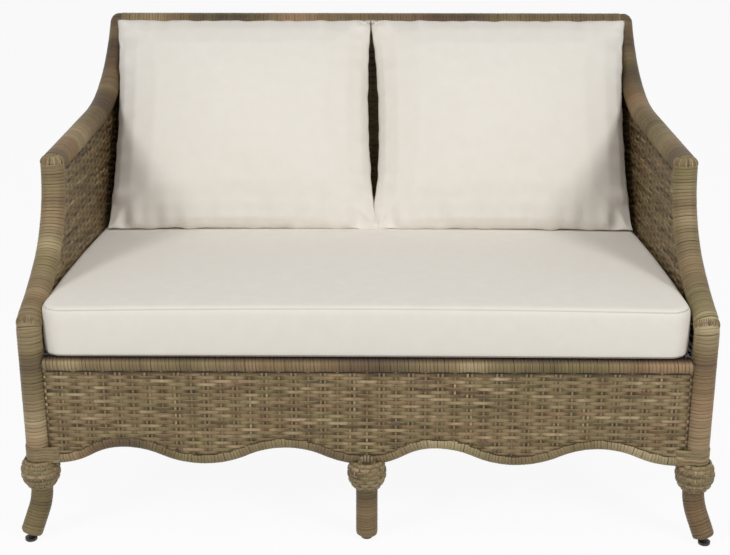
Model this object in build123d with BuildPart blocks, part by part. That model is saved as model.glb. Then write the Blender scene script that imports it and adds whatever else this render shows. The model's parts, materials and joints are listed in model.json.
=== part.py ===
from build123d import *
import os
from math import asin, atan2, cos, degrees, hypot, radians, sin, sqrt, tan

# Patio loveseat: an aluminium tube frame wound and panelled with resin strands,
# a boxed seat cushion and two loose back pillows. Sizes are in millimetres.
# X runs along the seat, -Y is the front, Z is up from the floor.

# Frame layout
post_spacing = 1290           # between the axes of the two front posts
side_splay = 3.3              # degrees that each side turns in towards the back
side_depth = 700              # front post axis to rear post axis, along a side
knee_height = 456             # centre of the rounded top of a front post
arm_post_reach = 221          # how far back the curved arm post carries the arm
arm_post_bend_reach = 130     # where its gentle curve turns into its tight one
arm_post_bend_height = 530
arm_post_heading = 22         # degrees above level at which it leaves the front post
arm_height = 712              # axis of the arm rail at its front end
arm_straight = 319            # straight front run of the arm rail
arm_slope = 5                 # degrees that this run climbs
back_height = 914             # axis of the back rail
back_reach = 826              # front post axis to back rail axis, along a side
rear_bend_height = 430        # where a rear post starts to lean back
rear_bend_radius = 240
rear_post_stop = 12           # end of a rear post, short of the back corner
seat_rail_height = 370.5      # axis of the four seat rails

# Tubes and the strands wound round them
post_tube_diameter = 36
post_tube_wall = 2
post_wrap_diameter = 48
rail_tube_diameter = 25
rail_tube_wall = 2
seat_wrap_diameter = 35
wave_rod_diameter = 15
wave_wrap_diameter = 24
brace_diameter = 12
wrap_fit = 0.3                # play between a tube and the strands round it
cope_fit = 0.2                # gap where one piece is cut to meet another
side_rail_inset = 45          # side seat rail, inwards from the side's own plane
rear_rail_forward = 7         # rear seat rail, forward of the rear post axes
deck_tube_count = 4

# Scalloped lower rails: each bay repeats the same two crests
wave_low = 174                # axis in a trough
wave_high = 209               # axis on a crest
wave_margin = 10              # level run between a post's strands and the first bay
wave_place_shares = (0, 0.218, 0.478, 0.740, 1)

# Woven panels
panel_thickness = 6
panel_fit = 0.4               # gap from a panel's nearer face to the strands beside it
side_panel_inset = 12         # middle of a side panel, inwards from its posts' plane

# Legs, from the woven knob down
knob_top = 172
knob_bottom = 112
knob_diameter = 77
knob_neck_diameter = 60       # where the knob meets the post above it
knob_foot_diameter = 48       # where it meets the leg below it
knob_belly_share = 0.47       # height of the widest ring, as a share of the knob
leg_wrap_diameter = 43
leg_tilt = 24                 # degrees off upright at the end of a corner leg
leg_turn_radius = 128
leg_end_height = 13           # centre of a corner leg's lower end
middle_leg_end_height = 5
leg_end_round = 8
leg_end_skin = 4
kick_angle = 39               # degrees from the X axis towards front or back
glide_diameter = 24
glide_height = 7
glide_round = 3
glide_stem_diameter = 10
glide_stem_height = 16

# Seat cushion
cushion_width = 1238          # across its front
cushion_taper = 32            # how much nearer each side is at the rear
cushion_overhang = 11         # in front of the front post axes
cushion_depth = 703
cushion_thickness = 98        # at the corners
cushion_crown_across = 5
cushion_crown_along = 9
cushion_draw = 3              # how far the front and rear pull in between their corners
cushion_bulge = 3             # how far the sides swell between their corners
cushion_front_round = 44
cushion_rear_round = 30
cushion_edge_round = 13       # along the top
cushion_bottom_round = 6
cushion_fit = 0.5             # clearance of a cushion from what it rests on
cover_thickness = 3
foam_fit = 0.4

# Back pillows
pillow_width = 583
pillow_height = 505
pillow_thickness = 184
pillow_gap = 10               # between the two pillows at their corners
pillow_lean = 32              # degrees back from upright
pillow_reach = 642            # middle of the seam plane, back from the front post axes
pillow_seam = 5               # thickness of the sewn edge
pillow_hem = 14               # width of the sewn edge that holds no filling
pillow_draw = 9
pillow_rise_shares = (0, 0.13, 0.34, 0.58, 0.79, 0.93, 0.985)
pillow_side_shares = (1, 0.985, 0.940, 0.835, 0.655, 0.400, 0.190)
pillow_corner_shares = (1, 0.938, 0.835, 0.690, 0.505, 0.300, 0.140)
settle_steps = 4

# Worked out from the sizes above
half_spacing = post_spacing / 2
splay_sine = sin(radians(side_splay))
splay_cosine = cos(radians(side_splay))
seat_top = seat_rail_height + seat_wrap_diameter / 2
deck_bottom = seat_rail_height + rail_tube_diameter / 2 + cope_fit
panel_inner = brace_diameter / 2 + cope_fit
panel_outer = panel_inner + panel_thickness
sides = {"left": -1, "right": 1}
ends = {"front": -1, "rear": 1}
pieces = {}


def side_x(reach):
    """Distance of a side's plane from the middle, at a reach back along the side."""
    return half_spacing - reach * splay_sine


def side_plane(side, inset=0):
    """Upright plane of a side: local x runs back along it and local y runs up."""
    across = side * splay_sine
    normal = Vector(splay_cosine, across, 0)
    origin = Vector(side * half_spacing, 0, 0) - normal * (side * inset)
    return Plane(origin=origin, x_dir=(-across, splay_cosine, 0), z_dir=normal)


def front_plane(y):
    """Upright plane across the seat: local x runs along it and local y runs up."""
    return Plane.XZ.offset(-y)


rear_x = side_x(side_depth)
rear_y = side_depth * splay_cosine
back_x = side_x(back_reach)
back_y = back_reach * splay_cosine
rear_lean = atan2(back_reach - side_depth, back_height - rear_bend_height)
rear_rail_y = rear_y - rear_rail_forward


def arc_from(start, heading, end):
    """Draws the arc that leaves start at a heading, and gives its heading at end."""
    run, rise = end[0] - start[0], end[1] - start[1]
    chord = atan2(rise, run)
    turn = 2 * (chord - radians(heading))
    sag = hypot(run, rise) / 2 * tan(turn / 4)
    middle = (start[0] + run / 2 + sag * sin(chord), start[1] + rise / 2 - sag * cos(chord))
    ThreePointArc(start, middle, end)
    return heading + degrees(turn)


def draw_arm_post():
    bend = (arm_post_bend_reach, arm_post_bend_height)
    heading = arc_from((0, knee_height), arm_post_heading, bend)
    arc_from(bend, heading, (arm_post_reach, arm_height))


def draw_arm_rail():
    front = (arm_post_reach, arm_height)
    climb = arm_straight * tan(radians(arm_slope))
    bend = (arm_post_reach + arm_straight, arm_height + climb)
    Line(front, bend)
    arc_from(bend, arm_slope, (back_reach, back_height))


def draw_rear_post(bottom, stop=0):
    top = (back_reach - stop * sin(rear_lean), back_height - stop * cos(rear_lean))
    corners = ((side_depth, bottom), (side_depth, rear_bend_height), top)
    FilletPolyline(*corners, radius=rear_bend_radius)


def draw_wave(start, end, bays):
    """Scalloped rail from axis to axis: level ends, and arcs from trough to crest."""
    inset = post_wrap_diameter / 2 + wave_margin
    bay = (end - start - 2 * inset) / bays
    heights = (wave_low, wave_high, wave_low, wave_high, wave_low)
    points = [(start, wave_low), (start + inset, wave_low)]
    for index in range(bays):
        for share, height in list(zip(wave_place_shares, heights))[1:]:
            points.append((start + inset + bay * (index + share), height))
    points.append((end, wave_low))
    for before, after in zip(points, points[1:]):
        if before[1] == after[1]:
            Line(before, after)
        else:
            middle = ((before[0] + after[0]) / 2, (before[1] + after[1]) / 2)
            heading = arc_from(before, 0, middle)
            arc_from(middle, heading, after)


def kick_plane(x, y, side, end):
    """Upright plane of a corner leg: local x runs the way it kicks, local y runs up."""
    outwards = Vector(side * cos(radians(kick_angle)), end * sin(radians(kick_angle)), 0)
    return Plane(origin=(x, y, 0), x_dir=outwards, z_dir=outwards.cross(Vector(0, 0, 1)))


def leg_turn_end():
    tilt = radians(leg_tilt)
    return leg_turn_radius * (1 - cos(tilt)), knob_bottom - leg_turn_radius * sin(tilt)


def leg_foot(shorter=0):
    """Lower end of a corner leg's axis, drawn up by what it is cut shorter."""
    kick, height = leg_turn_end()
    run = (height - leg_end_height) / cos(radians(leg_tilt)) - shorter
    return kick + run * sin(radians(leg_tilt)), height - run * cos(radians(leg_tilt))


def draw_leg(shorter=0):
    """Corner leg from its foot up: straight, then turning upright under the knob."""
    Line(leg_foot(shorter), leg_turn_end())
    arc_from(leg_turn_end(), 90 + leg_tilt, (0, knob_bottom))


def solid_rod(path, diameter, ball_end=False):
    """Round bar along a path, with half a ball on its far end if asked for."""
    with BuildPart() as bar:
        with BuildSketch(Plane(origin=path @ 0, z_dir=path % 0)):
            Circle(diameter / 2)
        sweep(path=path)
        if ball_end:
            with Locations(Plane(origin=path @ 1, z_dir=path % 1)):
                lift = (Align.CENTER, Align.CENTER, Align.MIN)
                Sphere(diameter / 2, arc_size1=0, align=lift)
    return bar.part


def cut(body, *cutters):
    """The body less the cutters. Loose offcuts inside a joint are dropped."""
    with BuildPart() as piece:
        add(body)
        for cutter in cutters:
            add(cutter, mode=Mode.SUBTRACT)
    return piece.part.solids().sort_by(SortBy.VOLUME)[-1]


def straight(start, end):
    with BuildLine() as line:
        Line(start, end)
    return line.wire()


class Member:
    """A frame member: its tube, the strands round it, and the room that each takes."""

    def __init__(self, path, tube, wall=0, wrap=0, ball_end=False, wrap_path=None, room_path=None):
        self.tube = solid_rod(path, tube, ball_end)
        self.tube_room = solid_rod(path, tube + 2 * cope_fit, ball_end)
        if wall:
            self.tube = cut(self.tube, solid_rod(path, tube - 2 * wall, ball_end))
        if wrap:
            wrap_path = wrap_path or path
            self.wrap = solid_rod(wrap_path, wrap, ball_end)
            self.wrap = cut(self.wrap, solid_rod(wrap_path, tube + 2 * wrap_fit, ball_end))
            room_path = room_path or wrap_path
            self.wrap_room = solid_rod(room_path, wrap + 2 * cope_fit, ball_end)


# The members of each side
front_post, arm_post, arm_rail, rear_post, side_rail, side_wave = {}, {}, {}, {}, {}, {}
post_sizes = (post_tube_diameter, post_tube_wall, post_wrap_diameter)
for name, side in sides.items():
    with BuildLine(kick_plane(side * half_spacing, 0, side, -1)) as path:
        draw_leg(leg_end_skin + wrap_fit)
        Line((0, knob_bottom), (0, knee_height))
    with BuildLine(side_plane(side)) as above_knob:
        Line((0, knob_top), (0, knee_height))
    with BuildLine(side_plane(side)) as above_leg:
        Line((0, knob_bottom), (0, knee_height))
    wires = {"wrap_path": above_knob.wire(), "room_path": above_leg.wire()}
    front_post[name] = Member(path.wire(), *post_sizes, ball_end=True, **wires)

    with BuildLine(side_plane(side)) as path:
        draw_arm_post()
    arm_post[name] = Member(path.wire(), *post_sizes, ball_end=True)

    with BuildLine(side_plane(side)) as path:
        draw_arm_rail()
    arm_rail[name] = Member(path.wire(), *post_sizes, ball_end=True)

    with BuildLine(kick_plane(side * rear_x, rear_y, side, 1)) as leg:
        draw_leg(leg_end_skin + wrap_fit)
    with BuildLine(side_plane(side)) as above_leg:
        draw_rear_post(knob_bottom, rear_post_stop)
    with BuildLine(side_plane(side)) as above_knob:
        draw_rear_post(knob_top, rear_post_stop)
    wires = {"wrap_path": above_knob.wire(), "room_path": above_leg.wire()}
    whole = Wire(leg.edges() + above_leg.edges())
    rear_post[name] = Member(whole, *post_sizes, **wires)

    with BuildLine(side_plane(side, side_rail_inset)) as path:
        Line((0, seat_rail_height), (rear_rail_y / splay_cosine, seat_rail_height))
    side_rail[name] = Member(path.wire(), rail_tube_diameter, rail_tube_wall)

    with BuildLine(side_plane(side)) as path:
        draw_wave(0, side_depth, 1)
    side_wave[name] = Member(path.wire(), wave_rod_diameter, wrap=wave_wrap_diameter)

# The members that run across
back_path = straight((-back_x, back_y, back_height), (back_x, back_y, back_height))
back_rail = Member(back_path, *post_sizes)
front_path = straight((-half_spacing, 0, seat_rail_height), (half_spacing, 0, seat_rail_height))
front_rail = Member(front_path, rail_tube_diameter, rail_tube_wall, seat_wrap_diameter)
rear_start = (-rear_x, rear_rail_y, seat_rail_height)
rear_path = straight(rear_start, (rear_x, rear_rail_y, seat_rail_height))
rear_rail = Member(rear_path, rail_tube_diameter, rail_tube_wall)
end_places = {"front": (half_spacing, 0), "rear": (rear_x, rear_y)}
end_wave = {}
for name, (reach, y) in end_places.items():
    with BuildLine(front_plane(y)) as path:
        draw_wave(-reach, reach, 2)
    end_wave[name] = Member(path.wire(), wave_rod_diameter, wrap=wave_wrap_diameter)

deck_rails = []
for index in range(deck_tube_count):
    x = (rear_x - side_rail_inset) * (2 * (index + 1) / (deck_tube_count + 1) - 1)
    path = straight((x, 0, seat_rail_height), (x, rear_rail_y, seat_rail_height))
    deck_rails.append(Member(path, rail_tube_diameter, rail_tube_wall))

# Middle legs, and the braces from their tops up to the seat rails
middle_leg, brace = {}, {}
for name, (reach, y) in end_places.items():
    foot = (0, y, middle_leg_end_height + leg_end_skin + wrap_fit)
    middle_leg[name] = Member(straight(foot, (0, y, wave_low)), post_tube_diameter, post_tube_wall)
    rail_y = {"front": 0, "rear": rear_rail_y}[name]
    brace_y = rail_y if name == "front" else rear_y
    path = straight((0, brace_y, wave_low), (0, brace_y, seat_rail_height))
    brace[name] = Member(path, brace_diameter)

# Glides, one under each leg
with BuildPart() as glide:
    with BuildSketch(Plane.XZ):
        with BuildLine():
            Polyline(
                (0, 0),
                (glide_diameter / 2, 0),
                (glide_diameter / 2, glide_height),
                (glide_stem_diameter / 2, glide_height),
                (glide_stem_diameter / 2, glide_height + glide_stem_height),
                (0, glide_height + glide_stem_height),
                close=True,
            )
        make_face()
    revolve(axis=Axis.Z)
    fillet(glide.edges().group_by(Axis.Z)[0], glide_round)
with BuildPart() as glide_room:
    tall = glide_height + glide_stem_height + cope_fit
    Cylinder(glide_stem_diameter / 2 + cope_fit, tall, align=(Align.CENTER, Align.CENTER, Align.MIN))
    low = glide_height + cope_fit
    Cylinder(glide_diameter / 2 + cope_fit, low, align=(Align.CENTER, Align.CENTER, Align.MIN))


def knob(x, y, end):
    """Woven knob round a leg's tube, widest a little below its middle."""
    bore = post_tube_diameter / 2 + wrap_fit
    belly = knob_bottom + (knob_top - knob_bottom) * knob_belly_share
    with BuildPart() as ball:
        # Drawn outwards, so that no rail's room is cut across the seam of the revolved face
        with BuildSketch(Plane(origin=(x, y, 0), x_dir=(0, end, 0), z_dir=(end, 0, 0))):
            with BuildLine():
                ThreePointArc(
                    (knob_foot_diameter / 2, knob_bottom),
                    (knob_diameter / 2, belly),
                    (knob_neck_diameter / 2, knob_top),
                )
                Polyline(
                    (knob_neck_diameter / 2, knob_top),
                    (bore, knob_top),
                    (bore, knob_bottom),
                    (knob_foot_diameter / 2, knob_bottom),
                )
            make_face()
        revolve(axis=Axis((x, y, 0), (0, 0, 1)))
    return ball.part


def leg_wrap(path, inner_path, foot):
    """Strands round a leg, rounded and closed over its foot, and let in for the glide."""
    with BuildPart() as shell:
        add(solid_rod(path, leg_wrap_diameter))
        ring = shell.edges().filter_by(GeomType.CIRCLE).sort_by_distance(path @ 0)
        fillet(ring[0], leg_end_round)
    bore = solid_rod(inner_path, post_tube_diameter + 2 * wrap_fit)
    room = glide_room.part.moved(Location((foot.X, foot.Y, 0)))
    return cut(shell.part, bore, room)


# Legs, knobs and glides
feet = []
for end_name, (reach, y) in end_places.items():
    for name, side in sides.items():
        plane = kick_plane(side * reach, y, side, ends[end_name])
        with BuildLine(plane) as outer:
            draw_leg()
        with BuildLine(plane) as inner:
            draw_leg(leg_end_skin)
        foot = outer.wire() @ 0
        feet.append(foot)
        leg = leg_wrap(outer.wire(), inner.wire(), foot)
        pieces[f"leg_wrap_{end_name}_{name}"] = leg
        rooms = [wave.wrap_room for wave in (end_wave[end_name], side_wave[name])]
        pieces[f"leg_knob_{end_name}_{name}"] = cut(knob(side * reach, y, ends[end_name]), *rooms)
    outer = straight((0, y, middle_leg_end_height), (0, y, knob_bottom))
    inner = straight((0, y, middle_leg_end_height + leg_end_skin), (0, y, knob_bottom))
    foot = outer @ 0
    feet.append(foot)
    pieces[f"leg_wrap_{end_name}_middle"] = leg_wrap(outer, inner, foot)
    ball = knob(0, y, ends[end_name])
    pieces[f"leg_knob_{end_name}_middle"] = cut(ball, end_wave[end_name].wrap_room)
    middle_tube = cut(middle_leg[end_name].tube, end_wave[end_name].wrap_room)
    pieces[f"middle_leg_tube_{end_name}"] = middle_tube
with BuildPart() as glides:
    for foot in feet:
        add(glide.part.moved(Location((foot.X, foot.Y, 0))))
pieces["glides"] = glides.part

# Frame tubes and the strands round them, each cut to meet its neighbours
for name, side in sides.items():
    front, post, rail, rear = front_post[name], arm_post[name], arm_rail[name], rear_post[name]
    wave, seat = side_wave[name], side_rail[name]
    pieces[f"front_post_tube_{name}"] = front.tube
    pieces[f"arm_post_tube_{name}"] = cut(post.tube, front.tube_room)
    pieces[f"arm_rail_tube_{name}"] = cut(rail.tube, post.tube_room)
    pieces[f"rear_post_tube_{name}"] = cut(rear.tube, rail.tube_room)
    tubes = (post.tube_room, front_rail.tube_room, end_wave["front"].tube_room, wave.tube_room)
    pieces[f"front_post_wrap_{name}"] = cut(front.wrap, *tubes)
    pieces[f"arm_post_wrap_{name}"] = cut(post.wrap, front.wrap_room, rail.tube_room)
    tubes = (rear.tube_room, back_rail.tube_room)
    pieces[f"arm_rail_wrap_{name}"] = cut(rail.wrap, post.wrap_room, *tubes)
    tubes = (rear_rail.tube_room, back_rail.tube_room, end_wave["rear"].tube_room, wave.tube_room)
    pieces[f"rear_post_wrap_{name}"] = cut(rear.wrap, rail.wrap_room, *tubes)
    seat_tube = cut(seat.tube, front_rail.tube_room, rear_rail.tube_room)
    pieces[f"seat_rail_tube_{name}"] = seat_tube
    pieces[f"scallop_rod_{name}"] = cut(wave.tube, front.tube_room, rear.tube_room)
    pieces[f"scallop_wrap_{name}"] = cut(wave.wrap, front.wrap_room, rear.wrap_room)

back_tubes = [member.tube_room for pair in (arm_rail, rear_post) for member in pair.values()]
back_wraps = [member.wrap_room for pair in (arm_rail, rear_post) for member in pair.values()]
pieces["back_rail_tube"] = cut(back_rail.tube, *back_tubes)
pieces["back_rail_wrap"] = cut(back_rail.wrap, *back_wraps)
front_tubes = [member.tube_room for member in front_post.values()]
front_wraps = [member.wrap_room for member in front_post.values()]
rear_tubes = [member.tube_room for member in rear_post.values()]
rear_wraps = [member.wrap_room for member in rear_post.values()]
pieces["seat_rail_tube_front"] = cut(front_rail.tube, *front_tubes)
pieces["seat_rail_tube_rear"] = cut(rear_rail.tube, *rear_tubes)
inner_rooms = [member.tube_room for member in (*side_rail.values(), *deck_rails, brace["front"])]
pieces["seat_rail_wrap_front"] = cut(front_rail.wrap, *front_wraps, *inner_rooms)
pieces["scallop_rod_front"] = cut(end_wave["front"].tube, *front_tubes)
pieces["scallop_rod_rear"] = cut(end_wave["rear"].tube, *rear_tubes)
brace_room = brace["front"].tube_room
pieces["scallop_wrap_front"] = cut(end_wave["front"].wrap, *front_wraps, brace_room)
brace_room = brace["rear"].tube_room
pieces["scallop_wrap_rear"] = cut(end_wave["rear"].wrap, *rear_wraps, brace_room)
rail_rooms = {"front": front_rail.tube_room, "rear": rear_rail.tube_room}
for name in ends:
    rooms = (end_wave[name].tube_room, rail_rooms[name])
    pieces[f"middle_brace_{name}"] = cut(brace[name].tube, *rooms)
with BuildPart() as deck_tubes:
    for member in deck_rails:
        add(cut(member.tube, front_rail.tube_room, rear_rail.tube_room))
pieces["deck_tubes"] = deck_tubes.part

# Woven seat deck on top of the tubes
with BuildPart() as deck:
    half_tube = rail_tube_diameter / 2
    deck_front = half_spacing - side_rail_inset + half_tube
    deck_rear = rear_x - side_rail_inset + half_tube
    with BuildSketch(Plane.XY.offset(deck_bottom)):
        with BuildLine():
            Polyline(
                (-deck_front, half_tube),
                (deck_front, half_tube),
                (deck_rear, rear_rail_y + half_tube),
                (-deck_rear, rear_rail_y + half_tube),
                close=True,
            )
        make_face()
    extrude(amount=seat_top - deck_bottom)
pieces["seat_deck"] = deck.part


def clearance(diameter, offset):
    """Room a panel needs beside strands whose axis lies off the panel's nearer face."""
    return sqrt((diameter / 2) ** 2 - offset**2) + panel_fit


# Woven side panels, drawn to their members' axes and then drawn in by the strands
for name, side in sides.items():
    with BuildPart() as panel:
        with BuildSketch(side_plane(side, side_panel_inset)):
            shrink = clearance(post_wrap_diameter, side_panel_inset - panel_thickness / 2)
            low = wave_low - shrink
            with BuildLine():
                Polyline((side_depth, low), (0, low), (0, knee_height))
                draw_arm_post()
                draw_arm_rail()
                draw_rear_post(low)
            make_face()
            offset(amount=-shrink, kind=Kind.INTERSECTION)
        extrude(amount=panel_thickness / 2, both=True)
    pieces[f"side_panel_{name}"] = cut(panel.part, side_wave[name].wrap_room)

with BuildPart() as apron:
    edge = half_spacing - clearance(post_wrap_diameter, panel_inner)
    top = seat_rail_height - clearance(seat_wrap_diameter, panel_inner)
    with BuildSketch(front_plane(-panel_inner)):
        with BuildLine():
            Polyline((-edge, wave_low), (-edge, top), (edge, top), (edge, wave_low), close=True)
        make_face()
    extrude(amount=panel_thickness)
pieces["apron_panel_front"] = cut(apron.part, end_wave["front"].wrap_room)

# The back panel bends with the rear posts, just behind their axes
with BuildPart() as back:
    lean = atan2(back_y - rear_y, back_height - rear_bend_height)
    short = clearance(post_wrap_diameter, panel_inner)
    outline = []
    for depth in (panel_inner, panel_outer):
        bend = (rear_y + depth, rear_bend_height - depth * tan(lean / 2))
        top_y = back_y + depth * cos(lean) - short * sin(lean)
        top_z = back_height - depth * sin(lean) - short * cos(lean)
        outline.append([(rear_y + depth, wave_low), bend, (top_y, top_z)])
    with BuildSketch(Plane.YZ):
        with BuildLine():
            Polyline(*outline[0], *reversed(outline[1]), close=True)
        make_face()
    extrude(amount=rear_x, both=True)
    front_edge, back_edge = side_x(0) - short, side_x(back_reach) - short
    with BuildSketch():
        with BuildLine():
            Polyline(
                (-front_edge, 0),
                (front_edge, 0),
                (back_edge, back_y),
                (-back_edge, back_y),
                close=True,
            )
        make_face()
    extrude(amount=back_height, mode=Mode.INTERSECT)
pieces["back_panel"] = cut(back.part, end_wave["rear"].wrap_room)


def boxed_cushion(inset):
    """Crowned box with drawn-in sides, smaller all round by the inset."""
    half_front = cushion_width / 2 - inset
    front = inset - cushion_overhang
    rear = front + cushion_depth - 2 * inset
    half_rear = half_front - cushion_taper
    half_middle = (half_front + half_rear) / 2 + cushion_bulge
    bottom = seat_top + cushion_fit + inset
    height = cushion_thickness - 2 * inset
    middle = (front + rear) / 2
    reach = (rear - front) / 2
    sweep_radius = (reach**2 + cushion_crown_along**2) / (2 * cushion_crown_along)
    centre = bottom + height + cushion_crown_along - sweep_radius
    half_sweep = asin((reach + cushion_edge_round) / sweep_radius)
    tilted = Plane(
        origin=(0, middle, centre),
        x_dir=(1, 0, 0),
        z_dir=(0, -cos(half_sweep), -sin(half_sweep)),
    )
    with BuildPart() as crown:
        with BuildSketch(tilted):
            with BuildLine():
                low = sweep_radius - height - cushion_crown_along - cushion_edge_round
                ThreePointArc(
                    (-half_front, sweep_radius),
                    (0, sweep_radius + cushion_crown_across),
                    (half_front, sweep_radius),
                )
                Polyline(
                    (half_front, sweep_radius),
                    (half_front, low),
                    (-half_front, low),
                    (-half_front, sweep_radius),
                )
            make_face()
        across = Axis((0, middle, centre), (-1, 0, 0))
        revolve(axis=across, revolution_arc=degrees(2 * half_sweep))
    with BuildPart() as box:
        with BuildSketch(Plane.XY.offset(bottom)) as plan:
            with BuildLine():
                corners = [
                    (-half_front, front),
                    (half_front, front),
                    (half_rear, rear),
                    (-half_rear, rear),
                ]
                ThreePointArc(corners[0], (0, front + cushion_draw), corners[1])
                ThreePointArc(corners[1], (half_middle, middle), corners[2])
                ThreePointArc(corners[2], (0, rear - cushion_draw), corners[3])
                ThreePointArc(corners[3], (-half_middle, middle), corners[0])
            make_face()
            fillet(plan.vertices().sort_by(Axis.Y)[:2], cushion_front_round - inset)
            fillet(plan.vertices().sort_by(Axis.Y)[-2:], cushion_rear_round - inset)
        extrude(amount=cushion_thickness + cushion_crown_along + cushion_crown_across)
        add(crown.part, mode=Mode.INTERSECT)
        rims = box.faces().sort_by(Axis.Z)
        fillet(rims[-1].edges(), cushion_edge_round - inset)
        fillet(box.faces().sort_by(Axis.Z)[0].edges(), cushion_bottom_round - inset)
    return box.part


def pillow(plane, hem, skin, seam):
    """Knife-edge pillow with drawn-in sides, smaller by a hem and a skin."""
    width, height = pillow_width / 2 - hem, pillow_height / 2 - hem
    rise = pillow_thickness / 2 - skin - seam / 2

    def outline(level, side_share, corner_share):
        corner_x, corner_y = width * corner_share, height * corner_share
        side_x, side_y = (width - pillow_draw) * side_share, (height - pillow_draw) * side_share
        with BuildSketch(plane.offset(level)) as section:
            with BuildLine():
                ThreePointArc((-corner_x, -corner_y), (0, -side_y), (corner_x, -corner_y))
                ThreePointArc((corner_x, -corner_y), (side_x, 0), (corner_x, corner_y))
                ThreePointArc((corner_x, corner_y), (0, side_y), (-corner_x, corner_y))
                ThreePointArc((-corner_x, corner_y), (-side_x, 0), (-corner_x, -corner_y))
            make_face()
        return section.sketch

    shares = list(zip(pillow_rise_shares, pillow_side_shares, pillow_corner_shares))
    with BuildPart() as body:
        extrude(outline(0, 1, 1), amount=seam / 2, both=True, dir=plane.z_dir)
        for way in (1, -1):
            loft([outline(way * (seam / 2 + rise * up), *rest) for up, *rest in shares])
    return body.part


# Seat cushion: a sewn cover over a block of foam
cushion = boxed_cushion(0)
pieces["seat_cushion_cover"] = cut(cushion, boxed_cushion(cover_thickness))
pieces["seat_cushion_foam"] = boxed_cushion(cover_thickness + foam_fit)

# Back pillows: each is lowered until it just clears the seat cushion
pillow_x = (pillow_width + pillow_gap) / 2
facing = (0, -cos(radians(pillow_lean)), sin(radians(pillow_lean)))
middle_height = seat_top + cushion_thickness + pillow_height / 2
for name, side in sides.items():
    height = middle_height
    for step in range(settle_steps):
        plane = Plane(origin=(side * pillow_x, pillow_reach, height), x_dir=(1, 0, 0), z_dir=facing)
        outside = pillow(plane, 0, 0, pillow_seam)
        gap = outside.distance_to(cushion)
        if step < settle_steps - 1:
            height += cushion_fit - gap
    cavity = pillow(plane, pillow_hem, cover_thickness, pillow_seam / 2)
    filling = pillow(plane, pillow_hem + foam_fit, cover_thickness + foam_fit, pillow_seam / 2)
    pieces[f"back_cushion_cover_{name}"] = cut(outside, cavity)
    pieces[f"back_cushion_filling_{name}"] = filling
    print("pillow", name, "middle height", round(height, 1), "gap", round(gap, 2))

# Everything moves so that the middle of the depth stands over the origin
boxes = [piece.bounding_box() for piece in pieces.values()]
middle_y = (min(box.min.Y for box in boxes) + max(box.max.Y for box in boxes)) / 2
print("middle of the depth", round(middle_y, 3))
os.makedirs("parts", exist_ok=True)
for name, piece in pieces.items():
    placed = piece.moved(Location((0, -middle_y, 0)))
    placed.label = name
    export_step(placed, f"parts/{name}.step")
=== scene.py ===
# %% [markdown]
# # A woven patio loveseat
# A loveseat for the garden is a bent aluminium frame that a weaver covers by hand.
# Resin strands are wound round every tube and woven into panels between them.
# The CAD model holds the frame, its sizes and its joints. This lesson dresses it.

# %% Load the frame
import json
from math import atan2, ceil, cos, hypot, pi, radians, sin, sqrt, tan

import bpy
import numpy as np
from mathutils import Matrix, Vector


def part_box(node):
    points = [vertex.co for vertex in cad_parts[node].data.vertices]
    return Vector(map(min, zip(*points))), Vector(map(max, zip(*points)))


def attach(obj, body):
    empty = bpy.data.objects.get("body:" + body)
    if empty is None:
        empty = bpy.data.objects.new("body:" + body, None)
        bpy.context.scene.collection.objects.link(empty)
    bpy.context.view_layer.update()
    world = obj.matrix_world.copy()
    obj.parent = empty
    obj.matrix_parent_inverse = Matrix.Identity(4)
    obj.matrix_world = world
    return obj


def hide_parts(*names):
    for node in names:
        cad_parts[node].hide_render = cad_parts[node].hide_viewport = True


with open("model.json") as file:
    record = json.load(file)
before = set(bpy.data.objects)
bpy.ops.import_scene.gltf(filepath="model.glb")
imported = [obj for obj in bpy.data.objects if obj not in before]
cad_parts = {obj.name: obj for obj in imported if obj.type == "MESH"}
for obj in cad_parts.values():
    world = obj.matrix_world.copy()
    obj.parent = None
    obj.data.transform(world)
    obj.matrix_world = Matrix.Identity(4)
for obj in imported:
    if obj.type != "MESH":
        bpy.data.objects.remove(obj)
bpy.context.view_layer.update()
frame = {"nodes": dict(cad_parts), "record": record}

# %% [markdown]
# The camera comes first, because it decides which details show. The photograph was
# measured for its horizon and its scale, and that gave one lens, height and tilt.
# A lens of 65 mm from three metres away keeps the sides of the seat nearly parallel.

# %% Camera
camera_height = 1.324298
camera_reach = 2.756242
camera_shift = 0.0255
camera_pitch = 18.27
camera_yaw = 0.71
sensor_width = 36
focal_share = 1319.167 / 730          # focal length over the picture's width


def into_scene(name, data):
    """Puts a camera, a light, a curve or a mesh into the scene as an object."""
    piece = bpy.data.objects.new(name, data)
    bpy.context.collection.objects.link(piece)
    return piece


camera_data = bpy.data.cameras.new("camera")
camera_data.sensor_width = sensor_width
camera_data.lens = sensor_width * focal_share
camera = into_scene("camera", camera_data)
camera.location = (camera_shift, -camera_reach, camera_height)
camera.rotation_euler = (radians(90 - camera_pitch), 0, radians(camera_yaw))
bpy.context.scene.camera = camera
bpy.context.scene.view_settings.view_transform = "Standard"
print("lens", round(camera_data.lens, 2), "mm")

# %% [markdown]
# Materials are built from nodes. One small function adds a node, sets it and links
# it, so that each material reads as a list of what it is made of. Colours are
# written as they look on a screen, and a second function turns them to linear light.

# %% Helpers for materials
multiply = {"data_type": "RGBA", "blend_type": "MULTIPLY"}     # how one colour shades another


def linear(code):
    """Linear colour from an sRGB hex code."""
    parts = [int(code[place:place + 2], 16) / 255 for place in (1, 3, 5)]
    return (*[p / 12.92 if p <= 0.04045 else ((p + 0.055) / 1.055) ** 2.4 for p in parts], 1)


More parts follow.
